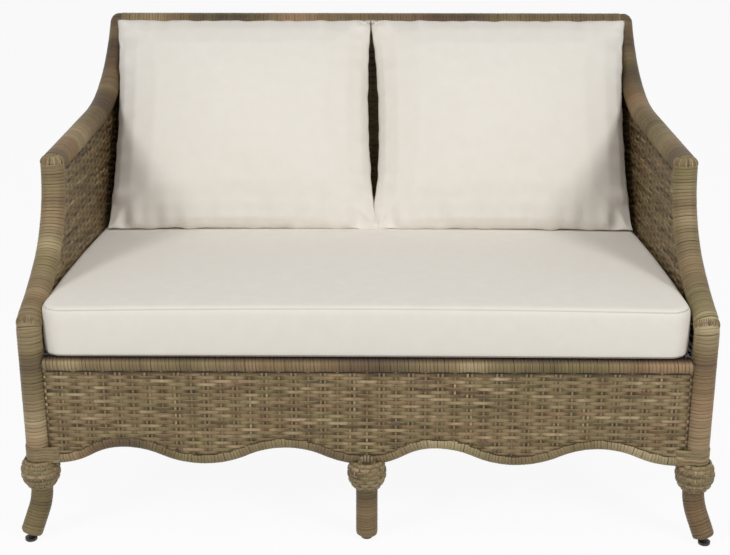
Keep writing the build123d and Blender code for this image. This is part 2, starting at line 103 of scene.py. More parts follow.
def add_node(tree, kind, inputs=None, **settings):
    """Adds a node. An input is a number, a colour, or the socket that it is linked to."""
    node = tree.nodes.new(kind)
    for name, value in settings.items():
        setattr(node, name, value)
    for name, value in (inputs or {}).items():
        if isinstance(value, bpy.types.NodeSocket):
            tree.links.new(value, node.inputs[name])
        else:
            node.inputs[name].default_value = value
    return node


def new_material(name):
    material = bpy.data.materials.new(name)
    material.use_nodes = True
    material.node_tree.nodes.clear()
    return material, material.node_tree


def ramp_colours(ramp, stops):
    """Sets a Color Ramp's stops from pairs of place and hex code."""
    elements = ramp.color_ramp.elements
    while len(elements) < len(stops):
        elements.new(0.5)
    for element, (place, code) in zip(elements, stops):
        element.position, element.color = place, linear(code)


def finish_material(tree, shader, bump=None):
    if bump is not None:
        tree.links.new(bump.outputs["Normal"], shader.inputs["Normal"])
    output = tree.nodes.new("ShaderNodeOutputMaterial")
    tree.links.new(shader.outputs[0], output.inputs["Surface"])


print("helpers ready")

# %% [markdown]
# The strands are extruded polyethylene, the plastic of most woven garden seats.
# Two or three shades run together in the die, so the colour drifts slowly along a
# strand, with fine streaks in it, and each turn of a winding differs a little from
# the next. Every strand carries an attribute named lay: metres along it, place
# across it from -1 to 1, and its own number. The colour follows that attribute.

# %% Extruded resin strand
drifts_per_metre, tones_per_metre = 1.5, 0.9
strand_jump = 7.31                     # far apart in the noise, so that no two strands are alike
streaks_along, streaks_across = 45, 3.2

strand_material, tree = new_material("extruded polyethylene strand")
lay = add_node(tree, "ShaderNodeAttribute", attribute_name="lay")
parts = add_node(tree, "ShaderNodeSeparateXYZ", {0: lay.outputs["Vector"]})
number = add_node(tree, "ShaderNodeMath", {0: parts.outputs["Z"], 1: strand_jump}, operation="MULTIPLY")
# The shades drift over about a metre of strand
drift_place = add_node(tree, "ShaderNodeMath", {0: parts.outputs["X"], 1: drifts_per_metre,
                                                2: number.outputs[0]}, operation="MULTIPLY_ADD")
drift = add_node(tree, "ShaderNodeTexNoise", {"W": drift_place.outputs[0], "Scale": 1, "Detail": 3,
                                              "Roughness": 0.6}, noise_dimensions="1D")
shade = add_node(tree, "ShaderNodeValToRGB", {"Fac": drift.outputs[0]})
ramp_colours(shade, [(0.26, "#5A4B34"), (0.38, "#705D42"), (0.48, "#897655"), (0.57, "#978364"),
                     (0.68, "#B6A282"), (0.80, "#817055")])
# A second, slower drift leans some stretches to pink and some to olive
tone_place = add_node(tree, "ShaderNodeMath", {0: parts.outputs["X"], 1: tones_per_metre,
                                               2: number.outputs[0]}, operation="MULTIPLY_ADD")
tone = add_node(tree, "ShaderNodeTexNoise", {"W": tone_place.outputs[0], "Scale": 1.3, "Detail": 1},
                noise_dimensions="1D")
lean = add_node(tree, "ShaderNodeValToRGB", {"Fac": tone.outputs[0]})
ramp_colours(lean, [(0.36, "#E6F0D8"), (0.50, "#FAFFF8"), (0.66, "#FFF0E8")])
toned = add_node(tree, "ShaderNodeMix", {"Factor": 0.8, 6: shade.outputs[0], 7: lean.outputs[0]},
                 **multiply)
# Streaks of the die, 0.6 mm wide and a few centimetres long
streak_place = add_node(tree, "ShaderNodeCombineXYZ", {"X": parts.outputs["X"], "Y": parts.outputs["Y"],
                                                       "Z": number.outputs[0]})
streak_scale = add_node(tree, "ShaderNodeVectorMath", {0: streak_place.outputs[0],
                                                       1: (streaks_along, streaks_across, 1)},
                        operation="MULTIPLY")
streak = add_node(tree, "ShaderNodeTexNoise", {"Vector": streak_scale.outputs[0], "Scale": 1, "Detail": 3})
streak_shade = add_node(tree, "ShaderNodeValToRGB", {"Fac": streak.outputs[0]})
ramp_colours(streak_shade, [(0.30, "#C9C4BC"), (0.52, "#FFFFFF"), (0.75, "#FFFFFF")])
streaked = add_node(tree, "ShaderNodeMix", {"Factor": 1.0, 6: toned.outputs[2],
                                            7: streak_shade.outputs[0]}, **multiply)
# Painted shade darkens each strand's edges, where two strands meet
edge = add_node(tree, "ShaderNodeMath", {0: parts.outputs["Y"]}, operation="ABSOLUTE")
painted_edge_shade = add_node(tree, "ShaderNodeValToRGB", {"Fac": edge.outputs[0]})
ramp_colours(painted_edge_shade, [(0.58, "#FFFFFF"), (0.82, "#BDB4A6"), (1.0, "#6A5C48")])
with_edge_shade = add_node(tree, "ShaderNodeMix", {"Factor": 1.0, 6: streaked.outputs[2],
                                           7: painted_edge_shade.outputs[0]}, **multiply)
# More painted shade darkens a strand where a second attribute says it lies deep or in shade
painted_shade = add_node(tree, "ShaderNodeAttribute", attribute_name="painted_shade")
painted_shade_ramp = add_node(tree, "ShaderNodeValToRGB", {"Fac": painted_shade.outputs["Fac"]})
ramp_colours(painted_shade_ramp, [(0.0, "#FFFFFF"), (0.3, "#D8CFC0"), (0.75, "#7A6A54"), (1.0, "#3C301E")])
with_painted_shade = add_node(tree, "ShaderNodeMix", {"Factor": 1.0, 6: with_edge_shade.outputs[2],
                                           7: painted_shade_ramp.outputs[0]}, **multiply)
strand_bump = add_node(tree, "ShaderNodeBump", {"Height": streak.outputs[0], "Strength": 0.25,
                                                "Distance": 0.0006})
strand_shader = add_node(tree, "ShaderNodeBsdfPrincipled", {"Base Color": with_painted_shade.outputs[2],
                                                            "Roughness": 0.5, "IOR": 1.51,
                                                            "Specular IOR Level": 0.4})
finish_material(tree, strand_shader, strand_bump)
print("resin strand:", len(tree.nodes), "nodes")

# %% [markdown]
# The tubes inside are aluminium with a baked powder coat. Powder melts to a skin
# with a faint orange-peel ripple about two millimetres across. It hardly shows
# between the strands, but the tubes of the deck and the thin braces can be seen.

# %% Powder-coated aluminium
ripples_per_metre, clouds_per_metre = 480, 14

coat_material, tree = new_material("powder-coated aluminium")
place = add_node(tree, "ShaderNodeTexCoord").outputs["Object"]
peel = add_node(tree, "ShaderNodeTexNoise", {"Vector": place, "Scale": ripples_per_metre, "Detail": 1})
cloud = add_node(tree, "ShaderNodeTexNoise", {"Vector": place, "Scale": clouds_per_metre, "Detail": 3})
coat_shade = add_node(tree, "ShaderNodeValToRGB", {"Fac": cloud.outputs[0]})
ramp_colours(coat_shade, [(0.35, "#54493A"), (0.65, "#655948")])
coat_bump = add_node(tree, "ShaderNodeBump", {"Height": peel.outputs[0], "Strength": 0.15,
                                              "Distance": 0.0004})
coat_shader = add_node(tree, "ShaderNodeBsdfPrincipled", {"Base Color": coat_shade.outputs[0],
                                                          "Roughness": 0.55, "IOR": 1.5})
finish_material(tree, coat_shader, coat_bump)
print("powder coat:", len(tree.nodes), "nodes")

# %% [markdown]
# Each foot stands on a moulded nylon glide. Nylon is dark here, a little waxy, and
# scuffed grey near the floor by sand, which a coarse noise shows.

# %% Moulded nylon
scuffs_per_metre = 320

glide_material, tree = new_material("moulded nylon")
place = add_node(tree, "ShaderNodeTexCoord").outputs["Object"]
scuff = add_node(tree, "ShaderNodeTexNoise", {"Vector": place, "Scale": scuffs_per_metre, "Detail": 4})
scuff_shade = add_node(tree, "ShaderNodeValToRGB", {"Fac": scuff.outputs[0]})
ramp_colours(scuff_shade, [(0.45, "#1D1B19"), (0.72, "#3A3733")])
scuff_bump = add_node(tree, "ShaderNodeBump", {"Height": scuff.outputs[0], "Strength": 0.1,
                                               "Distance": 0.0003})
glide_shader = add_node(tree, "ShaderNodeBsdfPrincipled", {"Base Color": scuff_shade.outputs[0],
                                                           "Roughness": 0.42, "IOR": 1.53})
finish_material(tree, glide_shader, scuff_bump)
print("nylon:", len(tree.nodes), "nodes")

# %% [markdown]
# The covers are spun polyester, a dull ivory cloth in a plain weave. Its threads are
# under half a millimetre, too fine to show, so the weave is drawn 1.6 mm coarse.
# The seams are drawn from an attribute that holds the distance to the nearest seam:
# a fine crease, with painted shade darkening the cloth in it.

# %% Woven polyester cloth
thread = 0.0016
bands_per_unit = 0.314                 # bands that a Wave node of scale 1 draws in a metre
slubs_per_metre = 34


def make_cloth(name, light, dark):
    material, tree = new_material(name)
    place = add_node(tree, "ShaderNodeTexCoord").outputs["Object"]
    waves = [add_node(tree, "ShaderNodeTexWave", {"Vector": place, "Scale": bands_per_unit / thread,
                                                  "Distortion": 0.5, "Detail": 1},
                      bands_direction=direction) for direction in ("X", "Z")]
    weave_height = add_node(tree, "ShaderNodeMath", {0: waves[0].outputs["Fac"],
                                                     1: waves[1].outputs["Fac"]}, operation="MULTIPLY")
    slub = add_node(tree, "ShaderNodeTexNoise", {"Vector": place, "Scale": slubs_per_metre, "Detail": 5,
                                                 "Roughness": 0.55})
    colour = add_node(tree, "ShaderNodeValToRGB", {"Fac": slub.outputs[0]})
    ramp_colours(colour, [(0.30, dark), (0.70, light)])
    seam = add_node(tree, "ShaderNodeAttribute", attribute_name="seam")
    crease = add_node(tree, "ShaderNodeMapRange", {"Value": seam.outputs["Fac"], "From Min": 0.0004,
                                                   "From Max": 0.0026})
    painted_crease_shade = add_node(tree, "ShaderNodeValToRGB", {"Fac": crease.outputs[0]})
    ramp_colours(painted_crease_shade, [(0.0, "#9C948A"), (1.0, "#FFFFFF")])
    sewn = add_node(tree, "ShaderNodeMix", {"Factor": 1.0, 6: colour.outputs[0],
                                            7: painted_crease_shade.outputs[0]}, **multiply)
    seam_bump = add_node(tree, "ShaderNodeBump", {"Height": crease.outputs[0], "Strength": 0.6,
                                                  "Distance": 0.002})
    weave_bump = add_node(tree, "ShaderNodeBump", {"Height": weave_height.outputs[0], "Strength": 0.12,
                                                   "Distance": 0.0005, "Normal": seam_bump.outputs[0]})
    shader = add_node(tree, "ShaderNodeBsdfPrincipled", {"Base Color": sewn.outputs[2],
                                                         "Roughness": 0.88, "Sheen Weight": 0.15,
                                                         "Sheen Roughness": 0.5})
    finish_material(tree, shader, weave_bump)
    print(name + ":", len(tree.nodes), "nodes")
    return material


cover_material = make_cloth("spun polyester cover", "#E8E3DA", "#E5DFD5")
filling_material = make_cloth("fibre filling", "#ECEAE2", "#E2DFD4")

# %% [markdown]
# The CAD nodes that keep their own shape get these finishes straight away. They are
# the tubes, the braces and the glides, and what is hidden inside the cushions.

# %% Finish the CAD nodes
slot_materials = {
    "frame_tube": coat_material,
    "resin_strand": strand_material,
    "glide": glide_material,
    "cushion_cover": cover_material,
    "cushion_filling": filling_material,
}
for subpart in frame["record"]["subparts"]:
    mesh = frame["nodes"][subpart["node"]].data
    mesh.materials.clear()
    mesh.materials.append(slot_materials[subpart["material_slot"]])

# %% [markdown]
# The new pieces follow the same lines as the CAD members, so the lines are written
# again here, in metres. The front post's place is read from the CAD node's box.

# %% Sizes shared with the CAD
half_spacing = 0.645
splay = radians(3.3)
side_depth = 0.700
knee_height, knee_radius = 0.456, 0.030
arm_bend = (0.130, 0.530)
arm_heading = 22
arm_start = (0.221, 0.712)
arm_slope, arm_straight = 5, 0.319
arm_bend_rear = (arm_start[0] + arm_straight, arm_start[1] + arm_straight * tan(radians(arm_slope)))
back_corner = (0.826, 0.914)
rear_bend_height = 0.430
rear_bend_radius = 0.240
rear_post_stop = 0.012
rail_height = 0.3705
wave_low, wave_high = 0.174, 0.209
wave_shares = (0, 0.218, 0.478, 0.740, 1)
knob_top, knob_bottom = 0.172, 0.112
post_radius, rail_radius, wave_radius, leg_radius = 0.024, 0.0175, 0.012, 0.0215
low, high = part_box("front_post_wrap_left")
front_y = (low.y + high.y) / 2
rear_x = half_spacing - side_depth * sin(splay)
rear_y = front_y + side_depth * cos(splay)
back_x = half_spacing - back_corner[0] * sin(splay)
back_y = front_y + back_corner[0] * cos(splay)
side_names = {"left": -1, "right": 1}
# Which way is outwards at the two long sides, how far back each lies, and half its width
ends = {"front": (-1, front_y, half_spacing), "rear": (1, rear_y, rear_x)}
print("front posts at", round(front_y, 4), "rear posts at", round(rear_x, 4), round(rear_y, 4))


# %% Lines of the members
def arc(start, heading, end, count=16):
    """Points of the arc that leaves start at a heading, and its heading at the end."""
    run, rise = end[0] - start[0], end[1] - start[1]
    turn = 2 * (atan2(rise, run) - radians(heading))
    span = hypot(run, rise)
    points = []
    for index in range(count + 1):
        part = turn * index / count
        reach = span * sin(part / 2) / sin(turn / 2)
        way = radians(heading) + part / 2
        points.append((start[0] + reach * cos(way), start[1] + reach * sin(way)))
    return points, heading + turn * 180 / pi


def line(start, end, step=0.008):
    """Evenly spaced points from start to end."""
    start, end = np.array(start), np.array(end)
    count = max(1, ceil(hypot(*(end - start)) / step))
    return [tuple(start + (end - start) * index / count) for index in range(count + 1)]


def join_lines(*lines):
    """One list of points, without the repeats where two lines meet."""
    points = []
    for part in lines:
        for point in part:
            if not points or hypot(point[0] - points[-1][0], point[1] - points[-1][1]) > 1e-6:
                points.append(point)
    return points


def rounded_corner(before, corner, after, radius, count=12):
    """Points of the arc that rounds a corner."""
    into = (Vector(corner) - Vector(before)).normalized()
    away = (Vector(after) - Vector(corner)).normalized()
    turn = into.angle_signed(away)
    cut_back = radius * tan(abs(turn) / 2)
    start = Vector(corner) - into * cut_back
    heading = atan2(into.y, into.x) * 180 / pi
    return arc(tuple(start), heading, tuple(Vector(corner) + away * cut_back), count)[0]


def wave_line(start, end, bays, inset=0.034):
    """The scalloped rail's line: level ends, and arcs from trough to crest."""
    bay = (end - start - 2 * inset) / bays
    heights = (wave_low, wave_high, wave_low, wave_high, wave_low)
    places = [(start + inset, wave_low)]
    for index in range(bays):
        for share, height in list(zip(wave_shares, heights))[1:]:
            places.append((start + inset + bay * (index + share), height))
    lines = [line((start, wave_low), places[0])]
    for before, after in zip(places, places[1:]):
        middle = ((before[0] + after[0]) / 2, (before[1] + after[1]) / 2)
        first, heading = arc(before, 0, middle, 10)
        lines += [first, arc(middle, heading, after, 10)[0]]
    lines.append(line(places[-1], (end, wave_low)))
    return join_lines(*lines)


post_foot = knob_top - 0.01            # the windings of the posts begin inside the knobs
arm_post_low, heading = arc((0, knee_height), arm_heading, arm_bend)
arm_post_high, arm_post_end = arc(arm_bend, heading, arm_start)
arm_post_line = join_lines(arm_post_low, arm_post_high)
arm_rail_line = join_lines(line(arm_start, arm_bend_rear), arc(arm_bend_rear, arm_slope, back_corner, 30)[0])
rear_corner = (side_depth, rear_bend_height)
rear_turn = rounded_corner((side_depth, 0), rear_corner, back_corner, rear_bend_radius)
lean_way = (Vector(back_corner) - Vector(rear_corner)).normalized()
rear_post_end = tuple(Vector(back_corner) - lean_way * rear_post_stop)
rear_post_line = join_lines(line((side_depth, post_foot), rear_turn[0]), rear_turn,
                            line(rear_turn[-1], rear_post_end))
waves = {"front": wave_line(-half_spacing, half_spacing, 2), "rear": wave_line(-rear_x, rear_x, 2),
         "side": wave_line(0, side_depth, 1)}
print("arm post leaves for the rail at", round(arm_post_end, 1), "degrees")


# %% Places in the plane of a side
def side_point(side, reach, height, inset=0.0):
    """A point in the upright plane of a side, or inwards from it."""
    return Vector((side * (half_spacing - reach * sin(splay) - inset * cos(splay)),
                   front_y + reach * cos(splay) - inset * sin(splay), height))


def along_side(side, points):
    return [side_point(side, *point) for point in points]


print("right arm begins at", [round(value, 4) for value in side_point(1, *arm_start)])

# %% [markdown]
# Winding a tube is one movement repeated: the flat strand goes once round while it
# moves on by its own width. A Screw modifier makes just that from the strand's
# cross-section, and a Curve modifier then bends the straight coil along the tube.
# Its path's radius can taper, which closes the coil over a foot or a tube's end.

# %% Helpers for modelling
def only(*pieces):
    """Selects these objects alone, the first as the active one."""
    bpy.ops.object.select_all(action="DESELECT")
    bpy.context.view_layer.objects.active = pieces[0]
    for piece in pieces:
        piece.select_set(True)


def apply_modifiers(piece):
    only(piece)
    for name in [modifier.name for modifier in piece.modifiers]:
        bpy.ops.object.modifier_apply(modifier=name)


def close_and_orient(piece):
    """Fills the open ends of a strand and turns its faces outwards."""
    only(piece)
    bpy.ops.object.mode_set(mode="EDIT")
    bpy.ops.mesh.select_all(action="SELECT")
    bpy.ops.mesh.fill_holes(sides=0)
    bpy.ops.mesh.select_all(action="SELECT")
    bpy.ops.mesh.normals_make_consistent(inside=False)
    bpy.ops.object.mode_set(mode="OBJECT")


def join_pieces(*pieces):
    only(*pieces)
    bpy.ops.object.join()
    return pieces[0]


def smooth(piece, angle=60):
    only(piece)
    bpy.ops.object.shade_smooth_by_angle(angle=radians(angle))


def read_points(piece):
    places = np.empty(len(piece.data.vertices) * 3)
    piece.data.vertices.foreach_get("co", places)
    return places.reshape(-1, 3)


def write_points(piece, places):
    piece.data.vertices.foreach_set("co", np.asarray(places).ravel())
    piece.data.update()


def dress(piece, slot, body, *nodes):
    """Hands a finished piece to the frame: its finish, its body and the nodes it stands for."""
    piece.data.materials.clear()
    piece.data.materials.append(slot_materials[slot])
    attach(piece, body)
    if nodes:
        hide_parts(*nodes)


print("modelling helpers ready")

# %% Attributes that the finishes read
depth_shade_share = 0.75                   # how dark painted shade from depth gets, against a seam's full painted shadow


def store(piece, name, values):
    """Stores a number, or a row of three numbers, for each point of a mesh."""
    kind, key = ("FLOAT_VECTOR", "vector") if np.ndim(values) == 2 else ("FLOAT", "value")
    layer = piece.data.attributes.new(name, kind, "POINT")
    layer.data.foreach_set(key, np.asarray(values, "f").ravel())


# Where the numbers of each group of strands begin, so that groups side by side differ in shade
first_number = {"apron": 40, "side": 80, "right side": 180, "apron stake": 300, "side stake": 400,
                "back": 600, "back stake": 800, "deck": 900, "deck stake": 1000, "knob": 1100,
                "knee": 1400, "arm top": 1420, "ball": 1450, "collar": 1500, "lashing": 1600}


def set_lay(piece, along, across, number):
    """Stores metres along the strand, place across it and the strand's number."""
    shape = np.shape(along)
    store(piece, "lay", np.column_stack([along, np.broadcast_to(across, shape),
                                         np.broadcast_to(number, shape)]))


def set_painted_shade(piece, values, seam=0):
    """Stores painted shade, from 0 to 1, where a strand lies behind others, at the back or in a seam."""
    shade = np.maximum(depth_shade_share * np.clip(values, 0, 1), np.clip(seam, 0, 1))
    store(piece, "painted_shade", np.broadcast_to(shade, len(piece.data.vertices)))


print("attributes ready")


# %% Lines in curves
def add_line(data, knots, closed=False):
    """Adds a line of straight stretches to a curve. A knot is a place, a radius and a tilt."""
    spline = data.splines.new("POLY")
    spline.points.add(len(knots) - 1)
    for point, (place, radius, tilt) in zip(spline.points, knots):
        point.co, point.radius, point.tilt = (*place, 1), radius, tilt
    spline.use_cyclic_u = closed


def make_path(points, radii):
    """A guide curve for the Curve modifier, which the coil fills from end to end."""
    data = bpy.data.curves.new("guide", "CURVE")
    data.dimensions = "3D"
    data.use_deform_bounds = data.use_stretch = data.use_radius = True
    add_line(data, [(place, radius, 0) for place, radius in zip(points, radii)])
    return into_scene("guide", data)


print("guides ready")

# %% Wind a strand round a line
strand_section = [(-1, -0.56), (-0.24, -0.50), (0, -0.32), (0, 0.32), (-0.24, 0.50), (-1, 0.56)]
strand_across = [-0.86, -0.86, -0.4, 0.4, 0.86, 0.86]
strand_thickness = 0.0016
calm_stretch = 0.16                    # shades drift slower here than in the panels
turn_swell, turn_shift = 0.0000588, 0.00022     # how far a turn strays outwards and sideways
windings = []


def wind(name, points, radius, pitch, steps=18, radii=None):
    """A strand wound round a line, as one closed mesh."""
    number = len(windings) + 1
    points = [Vector(point) for point in points]
    length = sum((after - before).length for before, after in zip(points, points[1:]))
    turns = max(2, round(length / pitch))
    pitch = length / turns
    bpy.ops.object.select_all(action="DESELECT")
    bpy.ops.mesh.primitive_circle_add(vertices=len(strand_section), radius=pitch)
    coil = bpy.context.object
    coil.name = coil.data.name = name
    for vertex, (out, up) in zip(coil.data.vertices, strand_section):
        vertex.co = (radius + out * strand_thickness, 0, up * pitch)
    screw = coil.modifiers.new("turns", "SCREW")
    screw.screw_offset, screw.iterations, screw.steps, screw.render_steps = pitch, turns, steps, steps
    screw.use_merge_vertices, screw.use_smooth_shade = False, True
    apply_modifiers(coil)
    close_and_orient(coil)
    places = read_points(coil)
    order = np.arange(len(places))
    turn = order // len(strand_section) / steps
    across = np.array(strand_across)[order % len(strand_section)]
    set_lay(coil, turn * 2 * pi * radius * calm_stretch, across, number)
    # No two turns lie quite alike
    uneven = np.sin(turn * 2.1 + number) + np.sin(turn * 5.3 + 2 * number) + np.sin(turn * 0.37)
    places[:, :2] *= 1 + uneven[:, None] * turn_swell / radius
    places[:, 2] += turn_shift * (np.sin(turn * 3.9 + number) + np.sin(turn * 1.7 + 3 * number))
    write_points(coil, places)
    guide = make_path(points, radii or [1] * len(points))
    bend = coil.modifiers.new("bend", "CURVE")
    bend.object, bend.deform_axis = guide, "POS_Z"
    apply_modifiers(coil)
    bpy.data.objects.remove(guide)
    smooth(coil)
    windings.append(name)
    print(name, turns, "turns of", round(pitch * 1000, 2), "mm")
    return coil


def dome(points, radius):
    """Adds points past the end of a line, with radii that close a coil like half a ball."""
    way = (Vector(points[-1]) - Vector(points[-2])).normalized()
    shares = (0.25, 0.5, 0.7, 0.85, 0.95, 1.0)
    extra = [Vector(points[-1]) + way * radius * share for share in shares]
    return points + extra, [1] * len(points) + [max(0.12, sqrt(1 - share**2)) for share in shares]


# %% Wind the posts and the arms
# How wide the strands are that the members are wound with
post_strand, arm_strand, top_strand, seat_strand = 0.0073, 0.0066, 0.0068, 0.0070
wave_strand, leg_strand = 0.0066, 0.0068
arm_painted_shade, rear_post_painted_shade = (0.15, 0.75), 0.45  # painted shade: an arm rail gets darker towards the back, and the rear posts are darker
knee_turn = rounded_corner((0, 0), (0, knee_height), arm_post_line[1], knee_radius, 14)
rest_of_arm = [point for point in arm_post_line if point[0] > knee_turn[-1][0] + 0.004]
front_line = join_lines(line((0, post_foot), knee_turn[0]), knee_turn, rest_of_arm)
for name, side in side_names.items():
    points, radii = dome(along_side(side, front_line), post_radius)
    post = wind(f"wound_front_post_{name}", points, post_radius, post_strand, radii=radii)
    dress(post, "resin_strand", "frame", f"front_post_wrap_{name}", f"arm_post_wrap_{name}")
    points, radii = dome(along_side(side, arm_rail_line), post_radius)
    rail = wind(f"wound_arm_rail_{name}", points, post_radius, arm_strand, radii=radii)
    arm_ends = (arm_start[0] + front_y, back_y)
    set_painted_shade(rail, np.interp(read_points(rail)[:, 1], arm_ends, arm_painted_shade))
    dress(rail, "resin_strand", "frame", f"arm_rail_wrap_{name}")
    rear = wind(f"wound_rear_post_{name}", along_side(side, rear_post_line), post_radius, post_strand)
    set_painted_shade(rear, rear_post_painted_shade)
    dress(rear, "resin_strand", "frame", f"rear_post_wrap_{name}")

# %% Wind the rails that run across
back_rail_inset, seat_rail_inset = 0.002, 0.02
rail_draw = 0.0015                     # the strand draws the front rail in under the cushion
cushion_shadow_start, cushion_shadow_depth = 0.0105, 0.005          # the painted shadow that the cushion's edge throws on it
# Painted shade: the back rail is darker, in waves along it, and the seat rail a little darker
back_rail_painted_shade, back_rail_shade_change, seat_rail_painted_shade = 0.45, 0.12, 0.15
across = np.linspace(-back_x + back_rail_inset, back_x - back_rail_inset, 40)
top = wind("wound_back_rail", [(x, back_y, back_corner[1]) for x in across], post_radius, top_strand)
set_painted_shade(top, back_rail_painted_shade + back_rail_shade_change * np.sin(read_points(top)[:, 0] * 14))
dress(top, "resin_strand", "frame", "back_rail_wrap")
across = np.linspace(-half_spacing + seat_rail_inset, half_spacing - seat_rail_inset, 40)
seat_rail = wind("wound_seat_rail", [(x, front_y, rail_height + rail_draw) for x in across],
                 rail_radius - rail_draw, seat_strand, 14)
seam = (read_points(seat_rail)[:, 2] - rail_height - cushion_shadow_start) / cushion_shadow_depth
set_painted_shade(seat_rail, seat_rail_painted_shade, seam)
dress(seat_rail, "resin_strand", "frame", "seat_rail_wrap_front")

# %% Wind the scalloped rails
wave_lift = 0.0015                     # the strands are thicker above, where the panel hangs
wave_trim = 0.018                      # the ends stop inside the posts


def wave_core(points):
    """The middle line of a scalloped rail's winding."""
    start, end = points[0][0] + wave_trim, points[-1][0] - wave_trim
    return [(reach, height + wave_lift) for reach, height in points if start < reach < end]


lines = {name: [(x, y, z) for x, z in wave_core(waves[name])] for name, (_, y, _) in ends.items()}
lines |= {name: along_side(side, wave_core(waves["side"])) for name, side in side_names.items()}
for name, points in lines.items():
    scallop = wind(f"wound_scallop_{name}", points, wave_radius + wave_lift, wave_strand, 12)
    dress(scallop, "resin_strand", "frame", f"scallop_wrap_{name}")

# %% [markdown]
# Below each knob the leg turns outwards and ends in a rounded foot. It is wound in
# the same way, and the taper of its path closes the last turns over the foot.

# %% Wind the legs
tilt_degrees, kick = 24, radians(39)
leg_tilt, leg_turn_radius, leg_end_height = radians(tilt_degrees), 0.128, 0.013
middle_leg_end, leg_top = 0.005, knob_bottom + 0.006
foot_round, foot_step = 0.008, 0.004
# Painted shade makes the legs darker
leg_painted_shade = 0.25
turn_end = (leg_turn_radius * (1 - cos(leg_tilt)), knob_bottom - leg_turn_radius * sin(leg_tilt))
run = (turn_end[1] - leg_end_height) / cos(leg_tilt)
foot_end = (turn_end[0] + run * sin(leg_tilt), leg_end_height)
leg_turn = arc(turn_end, 90 + tilt_degrees, (0, knob_bottom))[0]
leg_line = join_lines(line(foot_end, turn_end, foot_step), leg_turn, [(0, leg_top)])


def foot_radii(points):
    """Radii that round a coil's first millimetres over a foot."""
    inner = 1 - foot_round / leg_radius
    reach = [(Vector(point) - Vector(points[0])).length for point in points]
    drops = [max(0, 1 - value / foot_round) for value in reach]
    return [0.5] + [inner + (1 - inner) * sqrt(1 - drop**2) for drop in drops[1:]]


for end_name, (way, y, reach) in ends.items():
    lines = {name: [(side * (reach + cos(kick) * out), y + way * sin(kick) * out, up)
                    for out, up in leg_line] for name, side in side_names.items()}
    lines["middle"] = [(0, y, z) for z in np.linspace(middle_leg_end, leg_top, 30)]
    for name, points in lines.items():
        leg = wind(f"wound_leg_{end_name}_{name}", points, leg_radius, leg_strand,
                   radii=foot_radii(points))
        set_painted_shade(leg, leg_painted_shade)
        dress(leg, "resin_strand", "frame", f"leg_wrap_{end_name}_{name}")

# %% [markdown]
# The panels are plain weave: each row goes in front of one stake and behind the
# next, and the next row does the opposite. In front a strand lies flat and wide,
# and where it dives behind a stake it is pinched. Hundreds of rows made by hand
# would be slow, so each row is a curve that waves through the stakes, and one flat
# cross-section is drawn along them all.

# %% Lay flat strands along lines
section_corners = {4: [(-1, -1), (1, -1), (1, 1), (-1, 1)],
                   6: [(0, -1), (1, -0.62), (1, 0.62), (0, 1), (-1, 0.62), (-1, -0.62)]}


def flat_section(width, thickness, count):
    """A flat oval cross-section for the strands of a panel."""
    data = bpy.data.curves.new("section", "CURVE")
    data.dimensions = "2D"
    corners = [((out * thickness / 2, up * width / 2, 0), 1, 0) for out, up in section_corners[count]]
    add_line(data, corners, True)
    return into_scene("section", data)


def lay_strands(name, lines, width, thickness, sides=6, closed=False, twist="Z_UP"):
    """A mesh of flat strands. Each line is a list of knots: place, pinch and tilt."""
    section = flat_section(width, thickness, sides)
    data = bpy.data.curves.new(name, "CURVE")
    data.dimensions, data.twist_mode = "3D", twist
    data.bevel_mode, data.bevel_object, data.use_fill_caps = "OBJECT", section, not closed
    for knots in lines:
        add_line(data, knots, closed)
    only(into_scene(name, data))
    bpy.ops.object.convert(target="MESH")
    piece = bpy.context.object
    piece.data.name = name
    bpy.data.objects.remove(section)
    bpy.ops.object.mode_set(mode="EDIT")
    bpy.ops.mesh.select_all(action="SELECT")
    bpy.ops.mesh.remove_doubles(threshold=0.00002)
    bpy.ops.mesh.normals_make_consistent(inside=False)
    bpy.ops.object.mode_set(mode="OBJECT")
    return piece


print("a strand has", " or ".join(str(count) for count in section_corners), "sides")


# %% Where a panel has strands
shortest_run = 0.012


def inside_of(outline):
    """A test: which places of a row lie inside an outline?"""
    corners = np.array(outline)
    ahead = np.roll(corners, -1, axis=0)

    def test(across, height):
        hits = np.zeros(len(across), int)
        for (x0, y0), (x1, y1) in zip(corners, ahead):
            if (y0 > height) != (y1 > height):
                hits += (x0 + (height - y0) / (y1 - y0) * (x1 - x0)) > across
        return hits % 2 == 1

    return test


def clear_of(points, room):
    """A test: which places of a row keep their distance from a line?"""
    def test(across, height):
        gaps = np.hypot(points[:, 0][:, None] - across[None, :], points[:, 1][:, None] - height)
        return gaps.min(axis=0) > room

    return test


def above(points, room):
    """A test: which places of a row lie high enough above a line?"""
    places, heights = np.array(points).T
    return lambda across, height: height > np.interp(across, places, heights) + room


def stretches(allowed):
    """Start and end of each stretch of true values."""
    marks = np.flatnonzero(np.diff(np.concatenate([[0], allowed.astype(int), [0]])))
    return zip(marks[::2], marks[1::2])


def open_runs(tests, across, height):
    """Stretches of a row where every test allows the strand."""
    allowed = np.logical_and.reduce([test(across, height) for test in tests])
    return [(across[start], across[end - 1]) for start, end in stretches(allowed)
            if across[end - 1] - across[start] > shortest_run]


print("rows shorter than", shortest_run, "m are left out")

# %% Weave the rows and the stakes of a panel
row_pitch, stake_pitch, weave_depth = 0.00724, 0.0282, 0.0014
pair_offset = 0.0042                   # every second stake is a pair of strands
stake_width, stake_thickness, stake_depth = 0.0042, 0.0013, 0.0006
row_half = 0.56                        # half the width of a strand, in rows
row_drift, row_ripple = 0.0004, 0.0002          # how far a row strays up and down
sample_step, knot_step = 0.001, 0.02
# How wide the painted shade is in a seam between a panel and the frame
seam_width = 0.0035
panel_stretch, row_jump = 5, 0.7       # how fast shades change along a row, and from row to row
